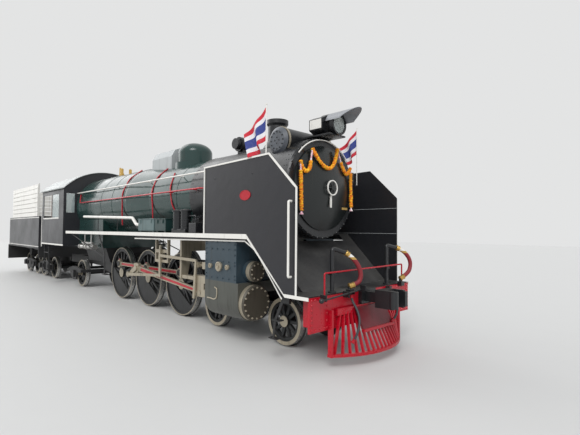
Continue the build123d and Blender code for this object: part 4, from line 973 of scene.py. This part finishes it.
def arcSpot(turn, back):
    t = math.radians(turn)
    return (back, doorArc["radius"] * math.sin(t), boilerAxis + doorArc["radius"] * math.cos(t))


def makeDoorArc(settings):
    back, foot = settings["back"], settings["foot"]
    pipes = [(0.011, [arcSpot(turn, back) for turn in settings["turns"]], 0.04)]
    pipes += [(0.008, [arcSpot(turn, back), arcSpot(turn, foot)]) for turn in (-40, 0, 40)]
    build("doorArcRail", "whitePaint", {"pipes": pipes})


makeDoorArc(doorArc)

# Rails at the back of the cab and across the front beam
rearRail = {"pipes": [(0.014, [(12.925, 1.29, 1.25), (12.925, 1.29, 3.13)])]
            + [(0.01, [(12.85, 1.29, height), (12.925, 1.29, height)]) for height in (1.45, 2.2, 3.05)]}
build("cabRearRail{}", "whitePaint", rearRail)
frontRail = [(0.015, -0.96, 0.966), (0.015, -0.96, 1.29), (0.015, 1.1, 1.312), (0.015, 1.1, 0.966)]
build("frontRail", "redPaint", {"pipes": [(0.013, frontRail, 0.05)]})

# Cab windows: panes, the timber post between them and the sill
windows = {
    ("panes{}", "windowGlass"): [((10.932, 11.658), (1.299, 1.305), (2.252, 3.008), 0.001),
                                 ((10.455, 10.461), (0.987, 1.228), (2.402, 3.008), 0.001)],
    ("windowPost{}", "timber"): [((11.66, 11.72), (1.296, 1.312), (2.248, 3.012))],
    ("windowSill{}", "whitePaint"): [((10.92, 12.65), (1.3, 1.318), (2.226, 2.25))],
}
for (name, coatName), boxes in windows.items():
    build(name, coatName, {"boxes": boxes})

# Dark panel in the middle of the pilot, and the rail at its foot
pilotPanel = {"half": 0.385, "top": (-0.07, 0.762), "foot": (-0.232, 0.45), "thick": 0.014}


def makePilotPanel(settings):
    half, (b0, h0), (b1, h1), thick = settings.values()
    outline = [place(b0, -half, h0), place(b0, half, h0), place(b1, half, h1), place(b1, -half, h1)]
    join("pilotPanel", [slabMesh(outline, Vector(ahead) * thick, 0.003)], "panelRed")
    rail = ((b1 - 0.03, b1 + 0.02), (-half - 0.015, half + 0.015), (h1 - 0.022, h1 + 0.022), 0.004)
    build("pilotPanelRail", "redPaint", {"boxes": [rail]})


makePilotPanel(pilotPanel)

# Front hoses: riser up to the band, thick hose down to the beam, and thin hose down to the pilot
hoses = {
    "Right": {
        "foot": (0.07, -0.73), "bend": 1.63,
        "thick": [(-0.02, -0.52, 1.56), (-0.06, -0.44, 1.5), (-0.1, -0.36, 1.41), (-0.12, -0.3, 1.29),
                  (-0.118, -0.29, 1.19), (-0.095, -0.33, 1.11), (-0.032, -0.45, 1.075)],
        "thin": [(-0.05, -0.425, 0.955), (-0.05, -0.425, 0.87), (-0.13, -0.43, 0.78), (-0.2, -0.455, 0.69),
                 (-0.24, -0.485, 0.59), (-0.25, -0.53, 0.49), (-0.24, -0.57, 0.4), (-0.205, -0.6, 0.32)],
    },
    "Left": {
        "foot": (0.07, 0.7), "bend": 1.65,
        "thick": [(0.01, 0.93, 1.6), (-0.03, 1.03, 1.56), (-0.07, 1.13, 1.48), (-0.1, 1.19, 1.37),
                  (-0.1, 1.19, 1.26), (-0.09, 1.13, 1.16), (-0.032, 0.98, 1.075)],
        "thin": [(-0.05, 0.6, 0.955), (-0.05, 0.6, 0.87), (-0.13, 0.6, 0.79), (-0.2, 0.58, 0.7),
                 (-0.24, 0.53, 0.62), (-0.255, 0.47, 0.56), (-0.25, 0.41, 0.51), (-0.245, 0.36, 0.475)],
    },
}
hoseSizes = {"thick": 0.034, "thin": 0.017, "riser": 0.03, "deck": 0.99}


def hoseMesh(points, radius):
    return tubeMesh([place(*spot) for spot in points], radius, 4, 12, 180.0)


def unionMesh(spot, toward, radius, long):  # a clamped collar at the end of a hose
    lip = radius + 0.006
    profile = [(0.0, -0.012), (radius, -0.012), (lip, -0.004), (lip, 0.012), (radius, 0.018)]
    profile += [(radius, long - 0.018), (lip, long - 0.012), (lip, long - 0.002)]
    profile += [(radius * 0.9, long), (0.0, long)]
    return turnedMesh(profile, place(*spot), place(*toward) - place(*spot), 24)


def makeHoses(settings):
    deck = settings["deck"]
    for sideName, hose in hoses.items():
        thick, thin, (back, y) = hose["thick"], hose["thin"], hose["foot"]
        for name, points in (("thick", thick), ("thin", thin)):
            join(f"{name}Hose{sideName}", [hoseMesh(points, settings[name])], "hoseRed")
        (endBack, endY, endHeight), lowY = thick[-1], thin[0][1]
        build("hoseBrackets" + sideName, "blackPaint", {
            "pipes": [(settings["riser"], [(back, y, deck + 0.001), (back, y, hose["bend"]), thick[0]], 0.1),
                      (0.026, [(-0.03, endY, endHeight - 0.08), (-0.03, endY, endHeight - 0.01)])],
            "turned": [(disc(0.058, 0.0, 0.024), (back, y, deck), upward, 24)],
            "boxes": [((back - 0.036, back + 0.036), (y - 0.045, y + 0.045), (1.25, 1.29), 0.004),
                      ((0.0, -0.08), (endY - 0.05, endY + 0.05), (endHeight - 0.12, endHeight - 0.045)),
                      ((0.0, -0.08), (lowY - 0.04, lowY + 0.04), (0.955, 0.981))],
        })
        ends = [(thick[-1], thick[-2], 0.04, 0.075), (thick[0], thick[1], 0.038, 0.05)]
        join("hoseUnions" + sideName, [unionMesh(*end) for end in ends], "brass")
        ends = [(thin[0], thin[1], 0.023, 0.05), (thin[-1], thin[-2], 0.023, 0.05)]
        join("thinHoseCollars" + sideName, [unionMesh(*end) for end in ends], "redPaint")


makeHoses(hoseSizes)

# Uncoupling lever at the near side, with its ball, arm and brackets
ballTurns = [math.pi * i / 10 for i in range(1, 10)]
ball = [(0.0, -0.036), *[(0.036 * math.sin(t), -0.036 * math.cos(t)) for t in ballTurns], (0.0, 0.036)]
lever = {
    "pipes": [(0.013, [(-0.096, -1.13, 0.943), (-0.096, -0.25, 1.012)])],
    "turned": [(ball, (-0.096, -1.15, 0.943), upward, 20)],
    "boxes": [((0.0, -0.112), (-1.072, -1.048), (0.925, 1.01)),
              ((0.0, -0.112), (-0.572, -0.548), (0.925, 1.01)),
              ((-0.084, -0.18), (-0.262, -0.24), (1.0, 1.08))],
}
build("uncouplingLever", "blackPaint", lever)
print("pipes, steps, rails and hoses in place")

# Garland of marigold heads on the smokebox door
garland = {"back": 0.778, "doorBack": 0.8536, "doorRadius": 0.72, "doorBulge": 0.14, "clear": 0.038}
blooms = {"garlandFlowers": {"Pitch": 0.019, "Radius": 0.034, "Flat": 0.55, "Ruffle": 0.7, "Seed": 7},
          "garlandBuds": {"Pitch": 0.016, "Radius": 0.017, "Flat": 0.8, "Ruffle": 0.4, "Seed": 8}}
tassel = [(0.0, 0.0), (0.01, 0.0), (0.014, 0.03), (0.03, 0.062), (0.036, 0.07), (0.02, 0.078), (0.0, 0.08)]


def doorFace(y, height):  # back of the dished door's face at a place
    spring = (garland["doorRadius"] ** 2 - garland["doorBulge"] ** 2) / (2 * garland["doorBulge"])
    ball = spring + garland["doorBulge"]
    away = y * y + (height - boilerAxis) ** 2
    return garland["doorBack"] + spring - math.sqrt(ball * ball - away)


def flowerSpot(y, height):
    return place(min(garland["back"], doorFace(y, height) - garland["clear"]), y, height)


def between(first, second, share):
    return tuple(a + (b - a) * share for a, b in zip(first, second))


garlandJoints = [(-0.655, 2.985), (-0.375, 3.215), (0.265, 3.3), (0.64, 3.01)]
garlandLows = [[(-0.61, 2.835), (-0.47, 2.835)], [(-0.215, 2.925), (0.105, 2.925)],
               [(0.43, 2.888), (0.56, 2.888)]]
garlandFeet = [(-0.63, 2.21), (0.665, 2.31)]
budShare = 0.55  # how much of a short drop is pink and white buds


def strand(first, last):
    return [first, between(first, last, 0.5), last]


def garlandRuns():
    one, two, three, four = garlandJoints
    lows = garlandLows
    lastBud = between(two, lows[0][1], budShare)
    firstBud = between(three, lows[2][0], budShare)
    strandNear = between(one, garlandFeet[0], 0.2)
    strandFar = between(four, garlandFeet[1], 0.16)
    flowers = [
        [one, *lows[0], lastBud], [two, *lows[1], three], [firstBud, *lows[2], four],
        strand(strandNear, garlandFeet[0]), strand(strandFar, garlandFeet[1]),
    ]
    buds = [strand(two, lastBud), strand(three, firstBud), strand(one, strandNear), strand(four, strandFar)]
    return flowers, buds


def runCurve(name, runs):
    data = bpy.data.curves.new(name, "CURVE")
    data.dimensions = "3D"
    for run in runs:
        addRun(data, [flowerSpot(y, height) for y, height in run], 12)
    return data


def headTree(name, material):
    tree = Growth(name, {"Pitch": 0.019, "Radius": 0.03, "Flat": 0.5, "Ruffle": 0.5, "Seed": 7})
    radius = tree.given("Radius")
    ball = tree.node("GeometryNodeMeshIcoSphere", (), {"Radius": radius, "Subdivisions": 2})
    sockets = {"Vector": tree.node("GeometryNodeInputPosition"), "Scale": 2.4 / radius, "Detail": 1.0}
    ruffles = tree.node("ShaderNodeTexNoise", (), sockets)
    depth = (ruffles - 0.5) * tree.given("Ruffle") * radius
    sockets = {0: tree.node("GeometryNodeInputNormal"), "Scale": depth}
    push = tree.node("ShaderNodeVectorMath", {"operation": "SCALE"}, sockets)
    ruffled = tree.node("GeometryNodeSetPosition", (), {"Geometry": ball, "Offset": push})
    squash = tree.node("ShaderNodeCombineXYZ", (), {0: 1.0, 1: 1.0, 2: tree.given("Flat")})
    flower = tree.node("GeometryNodeTransform", (), {"Geometry": ruffled, "Scale": squash})
    sockets = {"Curve": tree.given("Geometry"), "Length": tree.given("Pitch")}
    spots = tree.node("GeometryNodeCurveToPoints", {"mode": "LENGTH"}, sockets)
    sockets = {0: (-0.3, -0.3, 0.0), 1: (0.3, 0.3, math.tau), "Seed": tree.given("Seed")}
    spin = tree.node("FunctionNodeRandomValue", {"data_type": "FLOAT_VECTOR"}, sockets)
    sockets = {2: 0.82, 3: 1.12, "Seed": tree.given("Seed")}
    size = tree.node("FunctionNodeRandomValue", {"data_type": "FLOAT"}, sockets, 1)
    sockets = {"Rotation": tree.output(spots, "Rotation"), "Rotate By": spin}
    turn = tree.node("FunctionNodeRotateRotation", {"rotation_space": "LOCAL"}, sockets)
    sockets = {"Points": spots, "Instance": flower, "Rotation": turn, "Scale": size}
    tree.close(tree.node("GeometryNodeInstanceOnPoints", (), sockets), material)
    return tree


def petals(name, first, second, third, scale):
    finish = Finish(name)
    patch = finish.noise(scale, 2.0, 0.7)
    creaseAndShade = finish.noise(scale * 5.0, 2.0, 0.6)
    shade = finish.ramp(patch, (0.38, first), (0.5, second), (0.62, third))
    # Painted shade: the petals are darkened in their creases, where the same noise also gives the bumps
    shade = finish.blend(finish.step(creaseAndShade, 0.56, 0.7) * 0.55, shade, tuple(0.45 * c for c in first))
    bumps = finish.bump(creaseAndShade, 0.6, 0.004)
    return finish.shade(Base_Color=shade, Roughness=0.75 + 0.1 * creaseAndShade, Normal=bumps)


materials["marigold"] = petals(
    "marigoldPetals", (0.78, 0.17, 0.006), (0.9, 0.34, 0.01), (0.95, 0.56, 0.02), 26.0)
materials["buds"] = petals("budPetals", (0.78, 0.22, 0.4), (0.86, 0.62, 0.66), (0.84, 0.82, 0.76), 34.0)


def makeGarland(body):
    for (name, values), coatName, runs in zip(blooms.items(), ("marigold", "buds"), garlandRuns()):
        tree = headTree(name + "Tree", materials[coatName])
        tree.grow(name, runCurve(name + "Runs", runs), body, None, values)
    for name, spot in zip(("tasselRight", "tasselLeft"), garlandFeet):
        join(name, [turnedMesh(tassel, flowerSpot(*spot), (0.0, 0.0, -1.0), 12)], "buds", body)


makeGarland("smokebox_door")
print("garland hung")

# Flags: each row of the cloth folds just deeply enough to keep the length of the cut
flags = {
    "Right": {
        "side": -1, "back": 0.9, "hoist": (3.27, 3.75), "fly": [(1.42, 3.4), (1.24, 2.985)], "turn": 0.4,
    },
    "Left": {
        "side": 1, "back": 1.1, "hoist": (3.4, 3.88), "fly": [(1.61, 3.52), (1.45, 3.11)], "turn": 1.9,
    },
}
flagCut = {"hoist": 0.48, "fly": 0.64, "across": 1.2786, "folds": 1.6, "slant": 0.9, "sag": 0.035,
           "thick": 0.0012, "columns": 60, "rows": 36}
poleFoot, poleRadius = 2.78, 0.009


def flagRow(flag, share, fold):
    low, top = flag["hoist"]
    start = (flag["back"], top + (low - top) * share)
    stop = between(*flag["fly"], share)
    spots = []
    for i in range(flagCut["columns"] + 1):
        along = i / flagCut["columns"]
        swell = min(1.0, 3.0 * along)
        wave = math.sin(math.tau * flagCut["folds"] * along + flag["turn"] + flagCut["slant"] * share)
        back, height = between(start, stop, along)
        sag = flagCut["sag"] * math.sin(math.pi * along) * (1 - 0.6 * share)
        spots.append(place(back, flag["side"] * flagCut["across"] + fold * swell * wave, height - sag))
    return spots


def rowLong(spots):
    return sum((b - a).length for a, b in zip(spots, spots[1:]))


def foldFor(flag, share):  # how deep the folds are so that a row keeps the cut's length
    low, high = 0.0, 0.08
    for _ in range(24):
        middle = (low + high) / 2
        if rowLong(flagRow(flag, share, middle)) < flagCut["fly"]:
            low = middle
        else:
            high = middle
    return middle


def stripes(name):
    finish = Finish(name)
    across, down = finish.flatMap()[:2]
    crinkle = finish.noise(18.0, 3.0, 0.6)
    weave = finish.noise(420.0, 1.0, 0.5)
    level = abs(down - 0.5)  # the stripes mirror about the middle one
    red = finish.blend(crinkle * 0.3, (0.56, 0.018, 0.035), (0.42, 0.012, 0.028))
    shade = finish.blend(level < 1 / 3, red, (0.74, 0.73, 0.74))
    shade = finish.blend(level < 1 / 6, shade, (0.03, 0.05, 0.23))
    shade = finish.blend(finish.step(crinkle, 0.5, 0.8) * 0.2, shade, (0.3, 0.28, 0.3))
    bumps = finish.bump(weave + crinkle, 0.3, 0.002)
    return finish.shade(Base_Color=shade, Roughness=0.72 + 0.1 * weave, Normal=bumps)


materials["flagCloth"] = stripes("flagCloth")


def makeFlag(sideName, flag):
    rows, columns = flagCut["rows"], flagCut["columns"]
    verts = []
    for row in range(rows + 1):
        share = row / rows
        verts += flagRow(flag, share, foldFor(flag, share))
    width = columns + 1
    faces = [(r * width + c, (r + 1) * width + c, (r + 1) * width + c + 1, r * width + c + 1)
             for r in range(rows) for c in range(columns)]
    mesh = bpy.data.meshes.new("flagCloth")
    mesh.from_pydata(verts, [], faces)
    layer = mesh.uv_layers.new(name="cloth")
    for loop in mesh.loops:
        row, column = divmod(loop.vertex_index, width)
        layer.data[loop.index].uv = (column / columns, 1 - row / rows)
    mesh.materials.append(materials["flagCloth"])
    holder = holderOf(mesh)
    solid = holder.modifiers.new("thick", "SOLIDIFY")
    solid.thickness = flagCut["thick"]
    solid.offset = 0.0
    cloth = plainMesh(holder)
    cloth.shade_smooth()
    low, top = flag["hoist"]
    y = flag["side"] * flagCut["across"]
    long = top + 0.04 - poleFoot
    profile = [(0.0, 0.0), (poleRadius, 0.0), (poleRadius, long - 0.02), (0.016, long - 0.016)]
    profile += [(0.016, long - 0.004), (0.01, long), (0.0, long)]
    turned = [(profile, (flag["back"], y, poleFoot), upward, 16)]
    pole = build("flagPole" + sideName, "whitePaint", {"turned": turned})[0]
    piece = finishPiece("flag" + sideName, cloth, "locomotive")


for sideName, flag in flags.items():
    makeFlag(sideName, flag)
print("flags up")

studio = {"floorShade": (0.62, 0.615, 0.6), "worldLight": 0.74, "backdrop": (0.77, 0.775, 0.775),
          "keySun": 1.7, "fillSun": 0.8, "half": 60.0}


def makeStudio(settings):
    mesh = bpy.data.meshes.new("floor")
    half = settings["half"]
    corners = [(-half, -half, 0), (half, -half, 0), (half, half, 0), (-half, half, 0)]
    mesh.from_pydata(corners, [], [(0, 1, 2, 3)])
    floor = bpy.data.objects.new("floor", mesh)
    bpy.context.scene.collection.objects.link(floor)
    finish = Finish("floorFinish")
    grain = finish.noise(2.0, 3.0) * 0.2
    shade = finish.blend(grain, settings["floorShade"], tuple(0.9 * c for c in settings["floorShade"]))
    floor.data.materials.append(finish.shade(Base_Color=shade, Roughness=0.7))
    world = bpy.data.worlds.new("studio")
    bpy.context.scene.world = world
    world.use_nodes = True
    sky = Graph()
    sky.tree = world.node_tree
    sky.tree.nodes.clear()
    rays = sky.node("ShaderNodeLightPath")
    seen = sky.maths("MAXIMUM", sky.output(rays, "Is Camera Ray"), sky.output(rays, "Is Glossy Ray"))
    seen = sky.maths("MAXIMUM", seen, sky.output(rays, "Is Transmission Ray"))
    lit = sky.node("ShaderNodeBackground", (), {0: (0.93, 0.96, 1.0), 1: settings["worldLight"]})
    shown = sky.node("ShaderNodeBackground", (), {0: settings["backdrop"]})
    mixed = sky.node("ShaderNodeMixShader", (), {0: seen, 1: lit, 2: shown})
    end = sky.tree.nodes.new("ShaderNodeOutputWorld")
    sky.tree.links.new(mixed.socket, end.inputs[0])
    for name, strength, turn, spread in (
        ("keySun", settings["keySun"], (48.0, 0.0, 35.0), 30.0),
        ("fillSun", settings["fillSun"], (62.0, 0.0, -80.0), 50.0),
    ):
        light = bpy.data.lights.new(name, "SUN")
        light.energy = strength
        light.angle = math.radians(spread)
        lampObject = bpy.data.objects.new(name, light)
        lampObject.rotation_euler = [math.radians(t) for t in turn]
        bpy.context.scene.collection.objects.link(lampObject)
    bpy.context.scene.view_settings.view_transform = "Standard"


makeStudio(studio)
print("studio ready")
